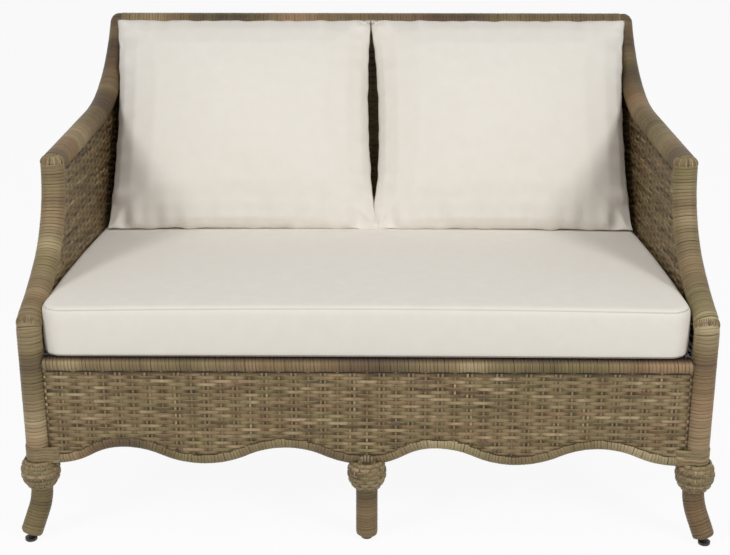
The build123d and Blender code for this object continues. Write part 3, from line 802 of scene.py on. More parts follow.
# Painted shade on every row, deeper where a row dives behind a stake; some rows darker than others
plain_painted_shade, dive_painted_shade, uneven_row_darkening = 0.26, 0.36, 0.20


def wave_depth(across, row):
    """How far in front of the stakes a row lies, from about -0.7 to 1."""
    return np.tanh(2.0 * (np.cos(pi * (across / stake_pitch + row)) + 0.50))


def dense_line(points, step=0.002):
    return join_lines(*[line(before, after, step) for before, after in zip(points, points[1:])])


def weave(name, tests, reach, heights, place, segments, sides, thickness=0.0020, cover=1.14):
    """The rows of a panel as one mesh, with their heights and the mesh's points."""
    fine = np.arange(reach[0], reach[1], sample_step)
    rows = np.arange(heights[0], heights[1], row_pitch)
    strands = []
    for index, height in enumerate(rows):
        for start, end in open_runs(tests, fine, height):
            step = stake_pitch / segments
            grid = np.arange(ceil(start / step) + 1, int(end / step)) * step
            grid = grid[(grid > start + step / 3) & (grid < end - step / 3)]
            across = np.concatenate([[start], grid, [end]])
            depth = wave_depth(across, index)
            pinch = 1.10 - 0.10 * np.clip(depth, -1, 1)
            drift = (row_drift * np.sin(across * 9 + index * 2.3)
                     + row_ripple * np.sin(across * 31 + index))
            strands.append([(place(x, height + dh, weave_depth * d), p, 0)
                            for x, dh, d, p in zip(across, drift, depth, pinch)])
    panel = lay_strands(name, strands, row_pitch * cover, thickness, sides)
    return panel, rows, read_points(panel)


def add_stakes(name, tests, reach, heights, place, tilt):
    """Upright stakes of a panel, alternately one strand and two, turned to face out."""
    tried = np.arange(heights[0], heights[1], sample_step)[::4]
    first, last = ceil(reach[0] / stake_pitch), int(reach[1] / stake_pitch)
    lines = []
    for index in range(first, last + 1):
        for offset in (-pair_offset, pair_offset) if index % 2 else (0,):
            across = index * stake_pitch + offset
            allowed = np.array([all(test(np.array([across]), height)[0] for test in tests)
                                for height in tried])
            for start, end in stretches(allowed):
                spots = tried[start:end]
                if len(spots) > 4:
                    count = max(2, int((spots[-1] - spots[0]) / knot_step))
                    chosen = np.linspace(spots[0], spots[-1], count)
                    lines.append([(place(across, height, stake_depth), 1, tilt) for height in chosen])
    return lay_strands(name, lines, stake_width, stake_thickness, 4, twist="MINIMUM")


def set_row_lay(panel, rows, spots, across, number, edge=1, shade=0):
    """The lay and painted shade of rows, from where their points are and how far from a seam."""
    row = np.clip(np.rint((spots[:, 2] - rows[0]) / row_pitch), 0, len(rows) - 1)
    place = (spots[:, 2] - rows[0] - row * row_pitch) / (row_pitch * row_half)
    set_lay(panel, across * panel_stretch + row_jump * row, place, number + row)
    uneven = uneven_row_darkening * (np.sin(row * 1.27 + number) + np.sin(row * 2.9 + across * 7))
    depth = plain_painted_shade - dive_painted_shade * wave_depth(across, row) + uneven + shade
    set_painted_shade(panel, depth, 1 - edge / seam_width)


def set_stake_lay(stakes, across, number):
    index = np.rint(across / (2 * pair_offset))
    set_lay(stakes, read_points(stakes)[:, 2] * panel_stretch, 0, number + index)


def finish_panel(panel, stakes, node):
    """Joins the rows and stakes of a panel, which stands for a CAD node."""
    smooth(panel)
    woven = join_pieces(panel, stakes)
    dress(woven, "resin_strand", "frame", node)
    print(woven.name, woven.dimensions[:], len(woven.data.polygons), "faces")


print("rows every", row_pitch, "m, stakes every", stake_pitch, "m")

# %% Weave the apron under the front seat rail
apron_front = 0.0092                   # the panel hangs this far in front of the posts' middle
post_room = 0.0218
wave_room = 0.0055
wave_seam, post_seam, rail_seam = 0.0102, 0.0222, 0.0116       # where the frame's painted shade ends


def apron_place(across, height, depth):
    return (across, front_y - apron_front - depth, height)


apron_edge = half_spacing - post_room
apron_tests = (lambda across, height: np.abs(across) < apron_edge, above(waves["front"], wave_room))
apron_low, apron_high = wave_low + 0.007, rail_height - 0.0045
panel, rows, spots = weave("woven_apron", apron_tests, (-apron_edge - 0.002, apron_edge + 0.002),
                           (apron_low, apron_high), apron_place, 6, 6)
stakes = add_stakes("apron_stakes", apron_tests, (-apron_edge, apron_edge),
                    (apron_low - 0.006, apron_high + 0.004), apron_place, pi / 2)
wave_x, wave_z = np.array(waves["front"]).T
edge = np.minimum.reduce([spots[:, 2] - np.interp(spots[:, 0], wave_x, wave_z) - wave_seam,
                          half_spacing - post_seam - np.abs(spots[:, 0]),
                          rail_height - rail_seam - spots[:, 2]])
set_row_lay(panel, rows, spots, spots[:, 0], first_number["apron"], edge)
set_stake_lay(stakes, read_points(stakes)[:, 0], first_number["apron stake"])
finish_panel(panel, stakes, "apron_panel_front")

# %% [markdown]
# The side and back panels are woven in the same way, each in its own surface. A
# side's surface leans in towards the back, and the back panel bends with the rear
# posts, so their rows are placed by the reach and the height at which they lie.

# %% Weave the sides
side_inset = 0.012
side_room, side_seam, side_wave_room = 0.0195, 0.0215, 0.0030
side_span, side_rows, side_stakes = (0.0, 0.83), (0.1788, 0.900), (0.18, 0.895)
cushion_shade_top, cushion_shade_end = 0.495, 0.16     # where the cushion's painted shadow reaches on a side
fade_up, fade_back = 0.02, 0.04
# Painted shade darkens a side's inner face towards the back, and its stakes a little
dark_reach, dark_shade, stake_painted_shade = (0.15, 0.65), (0.05, 0.6), 0.15
outline_low = wave_low - 0.05
arm_and_rear = join_lines(dense_line(arm_post_line), dense_line(arm_rail_line),
                          dense_line(rear_post_line[::-1]))
side_outline = join_lines(dense_line([(0, outline_low), (0, knee_height)]), arm_and_rear,
                          [(side_depth, outline_low)])
posts_line = np.array(join_lines(dense_line([(0, 0.1), (0, knee_height)]), arm_and_rear)[::2])


def side_shade(spots):
    """Reach, distance from the seam's painted shade, and extra painted shade of a side panel's points."""
    reach = (spots[:, 1] - front_y) / cos(splay)
    gaps = np.array([np.hypot(*(posts_line - place).T).min()
                     for place in np.column_stack([reach, spots[:, 2]])])
    inset = (half_spacing - np.abs(spots[:, 0])) * cos(splay) - (spots[:, 1] - front_y) * sin(splay)
    # 1 on the face towards the seat, 0 on the outer one
    inner = np.clip((inset - side_inset + 0.0002) / 0.0008, 0, 1)
    low_down = np.clip((cushion_shade_top - spots[:, 2]) / fade_up, 0, 1)
    # Painted shadow of the seat cushion on the inner face, low down at the front
    beside_cushion = inner * low_down * np.clip((cushion_shade_end - reach) / fade_back, 0, 1)
    edge = np.minimum(gaps - side_seam, seam_width * (1 - beside_cushion))
    return reach, edge, inner * np.interp(reach, dark_reach, dark_shade)


side_tests = (inside_of(side_outline), clear_of(posts_line, side_room),
              above(waves["side"], side_wave_room))
for name, side in side_names.items():
    def side_place(reach, height, depth, side=side):
        return tuple(side_point(side, reach, height, side_inset - depth))

    # Thicker strands than the apron's, because the sides are seen at a grazing angle
    panel, rows, spots = weave(f"woven_side_{name}", side_tests, side_span, side_rows, side_place,
                               5, 6, thickness=0.0028, cover=1.22)
    reach, edge, shade = side_shade(spots)
    number = first_number["right side" if side > 0 else "side"]
    set_row_lay(panel, rows, spots, reach, number, edge, shade)
    stakes = add_stakes(f"side_stakes_{name}", side_tests, side_span, side_stakes, side_place, 0)
    set_stake_lay(stakes, read_points(stakes)[:, 1], first_number["side stake"])
    reach, edge, shade = side_shade(read_points(stakes))
    set_painted_shade(stakes, stake_painted_shade + shade, 1 - edge / seam_width)
    finish_panel(panel, stakes, f"side_panel_{name}")

# %% Weave the back
back_lean = atan2(back_y - rear_y, back_corner[1] - rear_bend_height)
back_depth = 0.0092
back_room = 0.0212
back_span, back_rows = (-0.62, 0.62), (0.181, 0.8930)
back_stake_span, back_stakes = (-0.6, 0.6), (0.180, 0.894)


def back_surface(height):
    """How far back the middle of the back panel lies at a height."""
    bend = rear_bend_height - back_depth * tan(back_lean / 2)
    return rear_y + back_depth + max(0, height - bend) * tan(back_lean)


def back_place(across, height, depth):
    steep = cos(back_lean) if height > rear_bend_height else 1
    return (across, back_surface(height) + depth / steep, height)


def between_rear_posts(across, height):
    reach = max(0, (back_surface(height) - back_depth - front_y)) / cos(splay)
    return np.abs(across) < half_spacing - reach * sin(splay) - back_room


back_tests = (between_rear_posts, above(waves["rear"], wave_room))
panel, rows, spots = weave("woven_back", back_tests, back_span, back_rows, back_place, 4, 4)
set_row_lay(panel, rows, spots, spots[:, 0], first_number["back"])
stakes = add_stakes("back_stakes", back_tests, back_stake_span, back_stakes, back_place, pi / 2)
set_stake_lay(stakes, read_points(stakes)[:, 0], first_number["back stake"])
finish_panel(panel, stakes, "back_panel")

# %% [markdown]
# The deck under the seat cushion is a coarser weave of broad strands, which bear
# the weight. It shows only when the cushion slides out.

# %% Weave the deck
deck_low, deck_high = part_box("seat_deck")
deck_middle = (deck_low.z + deck_high.z) / 2
deck_pitch, deck_stake, deck_step = 0.0125, 0.0420, 0.014
deck_room, cross_room = 0.0325, 0.036
deck_strand, deck_cover, cross_width = 0.0016, 0.96, 0.0110
deck_rise, cross_rise = 0.0011, 0.0009
deck_stakes = 14                       # to each side of the middle one
deck_rows = np.arange(deck_low.y + 0.007, deck_high.y - 0.005, deck_pitch)


def deck_half(y):
    """Half the width between the two sides' posts at a place."""
    return half_spacing - (y - front_y) / cos(splay) * sin(splay)


strands = []
for index, y in enumerate(deck_rows):
    half = deck_half(y) - deck_room
    grid = np.arange(ceil(-half / deck_step) + 1, int(half / deck_step)) * deck_step
    across = np.concatenate([[-half], grid, [half]])
    lift = deck_rise * np.cos(pi * (across / deck_stake + index))
    strands.append([((x, y, deck_middle + dz), 1, 0) for x, dz in zip(across, lift)])
deck = lay_strands("woven_deck", strands, deck_strand, deck_pitch * deck_cover, 4)
spots = read_points(deck)
row = np.rint((spots[:, 1] - deck_rows[0]) / deck_pitch)
place = (spots[:, 1] - deck_rows[0] - row * deck_pitch) / (deck_pitch / 2)
set_lay(deck, spots[:, 0] + row * row_jump, place, first_number["deck"] + row)
strands = []
for index in range(-deck_stakes, deck_stakes + 1):
    x = index * deck_stake
    spots = np.arange(deck_low.y + 0.004, deck_high.y - 0.004, deck_pitch / 2)
    spots = spots[np.abs(x) < deck_half(spots) - cross_room]
    lift = cross_rise * np.cos(pi * ((spots - deck_rows[0]) / deck_pitch + index + 1))
    if len(spots) > 2:
        strands.append([((x, y, deck_middle + dz), 1, 0) for y, dz in zip(spots, lift)])
cross = lay_strands("deck_cross_strands", strands, deck_strand, cross_width, 4)
spots = read_points(cross)
stake = np.rint(spots[:, 0] / deck_stake)
place = (spots[:, 0] / deck_stake - stake) * 6
set_lay(cross, spots[:, 1], place, first_number["deck stake"] + stake)
deck = join_pieces(deck, cross)
dress(deck, "resin_strand", "frame", "seat_deck")
print("deck", deck.dimensions[:], len(deck.data.polygons), "faces")

# %% [markdown]
# A knob is a small basket woven round the leg: upright spokes, and rings of strand
# that pass in front of one spoke and behind the next. Each ring is a closed curve,
# and its tilt keeps the flat strand lying on the ball.

# %% Shape of a knob
spoke_count, knob_rings, steps_a_spoke = 20, 8, 4
belly_height = knob_bottom + (knob_top - knob_bottom) * 0.47
knob_outline = np.array([(0.024, knob_bottom), (0.0385, belly_height), (0.030, knob_top)])
ring_low = knob_bottom + 0.0025
ring_pitch = (knob_top - knob_bottom - 0.005) / (knob_rings - 1)
ring_sink, spoke_sink, ring_wave = 0.0024, 0.0036, 0.0011
ring_cover, ring_half, ring_thickness = 1.20, 0.55, 0.0030
spoke_width, spoke_thickness, first_spoke = 0.0040, 0.0032, 30
knob_stretch, ring_jump = 0.12, 0.31


def knob_radius(height):
    """Radius of the knob's outside, on the arc through its foot, belly and neck."""
    matrix = np.column_stack([2 * knob_outline, np.ones(3)])
    centre_x, centre_z, rest = np.linalg.solve(matrix, (knob_outline**2).sum(axis=1))
    radius = sqrt(rest + centre_x**2 + centre_z**2)
    return centre_x + sqrt(radius**2 - (height - centre_z) ** 2)


def knob_slope(height):
    step = 0.001
    top, bottom = min(height + step, knob_top), max(height - step, knob_bottom)
    return atan2(knob_radius(top) - knob_radius(bottom), top - bottom)


def around(piece, count):
    """A piece's points, their angles round Z, and the nearest to each of a count of strands."""
    spots = read_points(piece)
    angle = np.arctan2(spots[:, 1], spots[:, 0])
    return spots, angle, np.rint(angle * count / 2 / pi)


print("knob is", round(2000 * knob_radius(belly_height)), "mm across")

# %% Weave a knob
rings = []
for index in range(knob_rings):
    height = ring_low + index * ring_pitch
    knots = []
    for step in range(spoke_count * steps_a_spoke):
        angle = 2 * pi * step / (spoke_count * steps_a_spoke)
        depth = np.tanh(1.6 * (cos(spoke_count / 2 * angle + pi * index) + 0.35))
        radius = knob_radius(height) - ring_sink + ring_wave * depth
        knots.append(((radius * cos(angle), radius * sin(angle), height), 0.86 + 0.14 * depth,
                      knob_slope(height)))
    rings.append(knots)
basket = lay_strands("knob_rings", rings, ring_pitch * ring_cover, ring_thickness, 6, closed=True)
spots, angle, _ = around(basket, spoke_count)
ring = np.clip(np.rint((spots[:, 2] - ring_low) / ring_pitch), 0, knob_rings - 1)
place = (spots[:, 2] - ring_low - ring * ring_pitch) / (ring_pitch * ring_half)
set_lay(basket, np.abs(angle) * knob_stretch + ring * ring_jump, place, ring)
spokes = []
for angle in np.arange(spoke_count) * 2 * pi / spoke_count:
    knots = []
    for height in np.linspace(knob_bottom + 0.0005, knob_top - 0.0005, 14):
        radius = knob_radius(height) - spoke_sink
        knots.append(((radius * cos(angle), radius * sin(angle), height), 1, 0))
    spokes.append(knots)
cage = lay_strands("knob_spokes", spokes, spoke_width, spoke_thickness, 4, twist="MINIMUM")
spots, _, spoke = around(cage, spoke_count)
set_lay(cage, spots[:, 2], 0, first_spoke + spoke)
smooth(basket)
basket = join_pieces(basket, cage)
print("knob", basket.dimensions[:], len(basket.data.polygons), "faces")

# %% Set the knobs on the legs
strands_a_knob = 40
knob_places = {f"{end_name}_{name}": (side * reach, y) for end_name, (_, y, reach) in ends.items()
               for name, side in {"left": -1, "middle": 0, "right": 1}.items()}
for index, (name, (x, y)) in enumerate(knob_places.items()):
    ball = into_scene(f"woven_knob_{name}", basket.data.copy())
    ball.data.name = ball.name
    ball.data.transform(Matrix.Translation((x, y, 0)) @ Matrix.Rotation(index * 2.1, 4, "Z"))
    lay_values = np.empty(len(ball.data.vertices) * 3)
    ball.data.attributes["lay"].data.foreach_get("vector", lay_values)
    lay_values[2::3] += first_number["knob"] + strands_a_knob * index
    ball.data.attributes["lay"].data.foreach_set("vector", lay_values)
    dress(ball, "resin_strand", "frame", f"leg_knob_{name}")
bpy.data.objects.remove(basket)
print(len(knob_places), "knobs")

# %% [markdown]
# Where two wound members meet, the ends are tucked away under a fringe: a ring of
# short upright strands. One goes over the knee of each front post and one round the
# top of each arm post, and a ball inside closes the gaps that a sharp bend leaves
# between the turns. Over the middle legs a collar of short upright strands covers the
# scalloped rail, and at the corners a few strands run from the post on to the rail.

# %% Fringes over the joints
fringe_width, fringe_thickness = 0.0029, 0.0024
crown_spine = [(0.0226, 0.0030), (0.0231, 0.0060), (0.0218, 0.0100), (0.0188, 0.0140), (0.0158, 0.0162)]
knee_spine = [(0.0226, -0.0060), (0.0237, -0.0030), (0.0239, 0.0015), (0.0233, 0.0055), (0.0219, 0.0085)]
knee_ball, arm_ball, back_ball = 0.0234, 0.0228, 0.0230
knee_count, arm_count = 34, 32
ball_stretch, ball_band = 0.05, 0.007


def ball_end(name, middle, radius, painted_shade=0.5):
    """The ball inside a joint, which closes what its strands leave open, darkened by painted shade."""
    bpy.ops.object.select_all(action="DESELECT")
    bpy.ops.mesh.primitive_uv_sphere_add(segments=24, ring_count=12, radius=radius, location=middle)
    ball = bpy.context.object
    ball.name = ball.data.name = name
    bpy.ops.object.transform_apply()
    spots = read_points(ball) - np.array(middle)
    along = np.arctan2(spots[:, 1], spots[:, 0]) * ball_stretch
    set_lay(ball, along, 0, first_number["ball"] + spots[:, 2] / ball_band)
    set_painted_shade(ball, painted_shade)
    smooth(ball, 180)
    dress(ball, "resin_strand", "frame")


def fringe(name, middle, way, spine, count, number):
    """Short strands side by side round an axis. The spine is their radius and height."""
    lines = [[((out * cos(angle), out * sin(angle), lift), 1, 0) for out, lift in spine]
             for angle in np.arange(count) * 2 * pi / count]
    piece = lay_strands(name, lines, fringe_width, fringe_thickness, 6, twist="MINIMUM")
    spots, _, strand = around(piece, count)
    set_lay(piece, spots[:, 2], 0, number + strand)
    turn = Vector(way).to_track_quat("Z", "Y").to_matrix().to_4x4()
    piece.data.transform(Matrix.Translation(middle) @ turn)
    smooth(piece)
    dress(piece, "resin_strand", "frame")


bend = len(knee_turn) // 2
knee_middle = knee_turn[bend]
knee_way = Vector(knee_turn[bend + 1]) - Vector(knee_turn[bend - 1])
for name, side in side_names.items():
    middle, arm_top = side_point(side, *knee_middle), side_point(side, *arm_start)
    way = side_point(side, knee_middle[0] + knee_way.x, knee_middle[1] + knee_way.y) - middle
    fringe(f"knee_fringe_{name}", middle, way, knee_spine, knee_count, first_number["knee"])
    fringe(f"arm_fringe_{name}", arm_top, (0, 0, 1), crown_spine, arm_count, first_number["arm top"])
    ball_end(f"knee_ball_{name}", middle, knee_ball)
    ball_end(f"arm_ball_{name}", arm_top, arm_ball, 0.2)
    ball_end(f"back_ball_{name}", side_point(side, *back_corner), back_ball)
print("fringes at", [round(value, 4) for value in middle], "and", [round(value, 4) for value in arm_top])

# %% Collars over the middle legs
collar_radius, collar_count, collar_spread = 0.0232, 10, 1.25
collar_out, collar_bow, collar_flare = 0.0045, 0.0105, 8
collar_width, collar_thickness = 0.0050, 0.0016
outer_radius, strand_angle = 0.0238, 0.278
collar_spine = ((0.1595, 0.010), (0.1630, 0.004), (0.1680, 0.001), (0.1740, 0.0), (0.1800, -0.001),
                (0.1840, -0.004), (0.1862, -0.009))      # height, and how far out it bends
for end_name, (way, y, _) in ends.items():
    lines = []
    for angle in np.linspace(-collar_spread, collar_spread, collar_count):
        across, out = collar_radius * sin(angle), collar_out + collar_bow * cos(angle)
        lines.append([((across * (1 + collar_flare * max(0, pull)), y + way * (out + pull), height),
                       1, pi / 2) for height, pull in collar_spine])
    collar = lay_strands(f"collar_{end_name}", lines, collar_width, collar_thickness, 6, twist="MINIMUM")
    spots = read_points(collar)
    strand = np.rint(np.arcsin(np.clip(spots[:, 0] / outer_radius, -1, 1)) / strand_angle)
    set_lay(collar, spots[:, 2], 0, first_number["collar"] + strand)
    smooth(collar)
    dress(collar, "resin_strand", "frame")
    print(collar.name, collar.dimensions[:])

# %% Lashings where a scalloped rail meets a corner post
lashing_count, lashing_radius = 5, 0.0247
lashing_low, lashing_pitch = 0.1752, 0.0060              # round the post
tail_low, tail_pitch = 0.1700, 0.0068                    # and along the rail
tail_spine = ((0.024, 0.0180, 0.45), (0.031, 0.0156, 0.8), (0.038, 0.0148, 1), (0.042, 0.0110, 1.05))
lashing_width, lashing_thickness = 0.0070, 0.0018
lashing_sweep = np.radians(np.arange(-30, 121, 10))
for end_name, (way, y, reach) in ends.items():
    for name, side in side_names.items():
        lines = []
        for order in range(lashing_count):
            start, end = lashing_low + lashing_pitch * order, tail_low + tail_pitch * order
            points = [(reach + lashing_radius * cos(angle), lashing_radius * sin(angle), start)
                      for angle in lashing_sweep]
            points += [(reach - out, deep, start + (end - start) * share)
                       for out, deep, share in tail_spine]
            lines.append([((side * x, y + way * out, height), 1, 0) for x, out, height in points])
        lashing = lay_strands(f"lashing_{end_name}_{name}", lines, lashing_width, lashing_thickness)
        spots = read_points(lashing)
        strand = np.clip(np.rint((spots[:, 2] - tail_low) / lashing_width), 0, lashing_count - 1)
        set_lay(lashing, spots[:, 0], 0, first_number["lashing"] + strand)
        smooth(lashing)
        dress(lashing, "resin_strand", "frame")
        print(lashing.name, lashing.dimensions[:])

# %% [markdown]
# The seat cushion is a boxed cushion: a top and a bottom panel of cloth sewn to a
# band that goes all round. It starts as a cube whose corners are bevelled, and a
# remesh gives it even faces. Then the top is crowned, and the sides are drawn in.

# %% Seat cushion
cushion_half, cushion_taper = 0.622, 0.032
cushion_low, cushion_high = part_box("seat_cushion_cover")
cushion_middle_y = (cushion_low.y + cushion_high.y) / 2
cushion_reach = (cushion_high.y - cushion_low.y) / 2
cushion_bottom = cushion_low.z
cushion_thickness = 0.098
cushion_middle_z = cushion_bottom + cushion_thickness / 2
front_corner, rear_corner_radius = 0.044, 0.030
top_rim, bottom_rim = 0.013, 0.004
corner_steps, rim_steps = 8, 4
cushion_face = 0.0075


def bevel_edges(piece, test, radius, segments):
    """Rounds the edges for which a test of their two ends is true."""
    only(piece)
    bpy.ops.object.mode_set(mode="EDIT")
    bpy.ops.mesh.select_mode(type="EDGE")
    bpy.ops.mesh.select_all(action="DESELECT")
    bpy.ops.object.mode_set(mode="OBJECT")
    for edge in piece.data.edges:
        edge.select = bool(test(*[piece.data.vertices[index].co for index in edge.vertices]))
    bpy.ops.object.mode_set(mode="EDIT")
    bpy.ops.mesh.bevel(offset=radius, segments=segments, affect="EDGES")
    bpy.ops.object.mode_set(mode="OBJECT")


bpy.ops.object.select_all(action="DESELECT")
bpy.ops.mesh.primitive_cube_add(size=1)
cushion = bpy.context.object
cushion.name = cushion.data.name = "seat_cushion"
places = read_points(cushion)
places[:, 0] *= 2 * (cushion_half - np.where(places[:, 1] > 0, cushion_taper, 0))
places[:, 1] = cushion_middle_y + 2 * cushion_reach * places[:, 1]
places[:, 2] = cushion_bottom + cushion_thickness * (places[:, 2] + 0.5)
write_points(cushion, places)
for rear, radius in ((False, front_corner), (True, rear_corner_radius)):
    bevel_edges(cushion, lambda a, b: abs(a.z - b.z) > 0.05 and (a.y > cushion_middle_y) == rear,
                radius, corner_steps)
for upper, radius in ((True, top_rim), (False, bottom_rim)):
    bevel_edges(cushion, lambda a, b: abs(a.z - b.z) < 0.001 and (a.z > cushion_middle_z) == upper,
                radius, rim_steps)
cushion.data.remesh_voxel_size = cushion_face
only(cushion)
bpy.ops.object.voxel_remesh()
print("seat cushion", len(cushion.data.polygons), "faces after the remesh")

# %% Crown the seat cushion and draw in its sides
crown_along, crown_across = 0.009, 0.005
draw_in, band_belly = 0.003, 0.0022
cushion_shift = -0.0035                # it lies a little to the left, as in the photograph
lower_seam, rim_upright, rim_width, rim_crease = 0.0028, 0.62, 0.018, 0.0009
off_seam = 0.02                        # anything this far from a seam is plain cloth


def shape_cushion(places):
    along = (places[:, 1] - cushion_middle_y) / cushion_reach
    half = cushion_half - cushion_taper * (along + 1) / 2
    across = places[:, 0] / half
    up = np.clip((places[:, 2] - cushion_bottom) / cushion_thickness, 0, 1)
    shaped = places.copy()
    shaped[:, 2] += up * (crown_along * (1 - along**2) + crown_across * (1 - across**2))
    shaped[:, 0] += draw_in * across * np.abs(across) ** 3 * (1 - along**2)
    shaped[:, 1] -= draw_in * along * np.abs(along) ** 3 * (1 - across**2)
    # The filling rounds the band a little between its two seams
    belly = band_belly * np.sin(pi * up)
    shaped[:, 1] += np.sign(along) * belly * np.abs(along) ** 12
    shaped[:, 0] += np.sign(across) * belly * np.abs(across) ** 12
    shaped[:, 0] += cushion_shift
    return shaped


write_points(cushion, shape_cushion(read_points(cushion)))
subdivision = cushion.modifiers.new("smooth", "SUBSURF")
subdivision.levels = subdivision.render_levels = 1
apply_modifiers(cushion)
places = read_points(cushion)
normals = np.empty(len(places) * 3)
cushion.data.vertices.foreach_get("normal", normals)
upright = np.abs(normals.reshape(-1, 3)[:, 2])
# The lower seam runs just above the bottom edge, the upper one on the round of the rim
lower_gap = np.where(upright < 0.8, np.abs(places[:, 2] - cushion_bottom - lower_seam), off_seam)
upper_gap = np.where(places[:, 2] > cushion_middle_z, np.abs(upright - rim_upright) * rim_width, off_seam)
store(cushion, "seam", np.minimum(lower_gap, rim_crease + upper_gap))
smooth(cushion, 80)
dress(cushion, "cushion_cover", "seat_cushion", "seat_cushion_cover")
print("seat cushion", cushion.dimensions[:], len(cushion.data.polygons), "faces")

# %% [markdown]
# A back pillow is a knife-edge pillow: two panels of cloth sewn together at their
# rims and filled with fibre. The rims draw in between the pointed corners. It is
# modelled lying flat as two sheets, and is then leaned against the back.

# %% Shape of a back pillow
pillow_half_width, pillow_half_height = 0.2915, 0.2525
pillow_rise, pillow_seam, pillow_draw = 0.092, 0.005, 0.009
top_draw, bottom_draw = 0.004, 0.003
seam_wander, rim_fold, corner_fold, fold_reach = 0.0011, 0.0026, 0.0100, 0.014
wander_reach, corner_reach = 0.012, 0.07
broad_lump, small_lump = 0.0022, 0.0014
rise_shares = (0, 0.13, 0.34, 0.58, 0.79, 0.93, 0.985, 1.0)
side_shares = (1, 0.985, 0.940, 0.835, 0.655, 0.400, 0.190, 0.0)
corner_shares = (1, 0.938, 0.835, 0.690, 0.505, 0.300, 0.140, 0.0)


def pillow_height_at(a, b):
    """Share of the full rise at a place on the pillow, from -1 to 1 each way."""
    most, least = np.maximum(np.abs(a), np.abs(b)), np.minimum(np.abs(a), np.abs(b))
    diagonal = (least / np.maximum(most, 1e-6)) ** 2
    side_rise = np.interp(most, side_shares[::-1], rise_shares[::-1])
    corner_rise = np.interp(most, corner_shares[::-1], rise_shares[::-1])
    return side_rise * (1 - diagonal) + corner_rise * diagonal


def spread_to_rim(values):
    """Grid lines closer together near the rim, where the cloth curves most."""
    return np.sign(values) * (1 - (1 - np.abs(values)) ** 1.35)


def gathers(place, seed):
    """Uneven waves of cloth along a seam, about -1 to 1."""
    waves = np.sin(place * 61 + seed) + np.sin(place * 97 + 2.3 * seed)
    return (waves + 0.8 * np.sin(place * 163 + 4.1 * seed)) / 2.4


def shape_pillow(places, front):
    a, b = spread_to_rim(places[:, 0]), spread_to_rim(places[:, 1])
    x = a * pillow_half_width - pillow_draw * a * np.abs(a) * (1 - b**2)
    y = b * pillow_half_height - np.where(b > 0, top_draw, bottom_draw) * b * np.abs(b) * (1 - a**2)
    rise = pillow_height_at(a, b)
    z = (pillow_rise - pillow_seam / 2) * rise + pillow_seam / 2
    # The seam wanders, and short folds run in from it, deepest at the corners
    to_side, to_end = (1 - np.abs(a)) * pillow_half_width, (1 - np.abs(b)) * pillow_half_height
    rim = np.minimum(to_side, to_end)
    near_corner = np.exp(-np.hypot(to_side, to_end) / corner_reach)
    seed = 1.0 if front else 4.0
    fold = np.where(to_side < to_end, gathers(y, seed + np.sign(a)), gathers(x, seed + 2 + np.sign(b)))
    x += np.sign(a) * seam_wander * gathers(y, 7 + np.sign(a)) * np.exp(-to_side / wander_reach)
    y += np.sign(b) * seam_wander * gathers(x, 9 + np.sign(b)) * np.exp(-to_end / wander_reach)
    z += (rim_fold + corner_fold * near_corner) * fold * rim / fold_reach * np.exp(1 - rim / fold_reach)
    # Broad, shallow unevenness of the fibre filling
    z += rise * (broad_lump * np.sin(9 * x + 2) * np.sin(11 * y + 1)
                 + small_lump * np.sin(21 * x + 13 * y + seed))
    return np.column_stack([x, y, z if front else -z])


print("pillow", 2 * pillow_half_width, "by", 2 * pillow_half_height, "m before it is filled")

# %% Sew a pillow from two sheets
half_sheets = []
for front in (True, False):
    bpy.ops.object.select_all(action="DESELECT")
    bpy.ops.mesh.primitive_grid_add(x_subdivisions=96, y_subdivisions=80, size=2)
    sheet = bpy.context.object
    sheet.name = sheet.data.name = "pillow_front" if front else "pillow_rear"
    write_points(sheet, shape_pillow(read_points(sheet), front))
    half_sheets.append(sheet)
pillow = join_pieces(*half_sheets)
bpy.ops.object.mode_set(mode="EDIT")
bpy.ops.mesh.select_mode(type="EDGE")
bpy.ops.mesh.select_all(action="DESELECT")
bpy.ops.mesh.select_non_manifold()
bpy.ops.mesh.bridge_edge_loops()
bpy.ops.mesh.select_all(action="SELECT")
bpy.ops.mesh.normals_make_consistent(inside=False)
bpy.ops.object.mode_set(mode="OBJECT")
relax = pillow.modifiers.new("relax", "SMOOTH")
relax.factor, relax.iterations = 0.5, 1
apply_modifiers(pillow)
print("pillow", pillow.dimensions[:], len(pillow.data.polygons), "faces")

# %% Lean the pillows against the back
pillow_lean = radians(32)
pillow_gap = 0.010
pillow_low, pillow_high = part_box("back_cushion_cover_left")
pillow_middle = (pillow_low + pillow_high) / 2
# How far the loose filling pushes the two side edges out, from the bottom up
edge_heights = (-1, -0.8, -0.5, 0, 0.5, 1)
inner_edge = {"left": (0.026, 0.019, 0.015, 0.011, 0.008, 0.006),
              "right": (-0.009, -0.001, -0.007, -0.006, -0.002, 0.006)}
outer_edge = {"left": (0, 0, 0, 0, 0.002, 0.006), "right": (0.001, 0.001, 0, 0, 0.001, 0.006)}
bottom_slide, bottom_drop, bottom_lift = 0.010, 0.006, 0.0022
bottom_sag, top_sag = 0.005, 0.002
rim_line = 0.0024                      # half the thickness at which the two panels are sewn


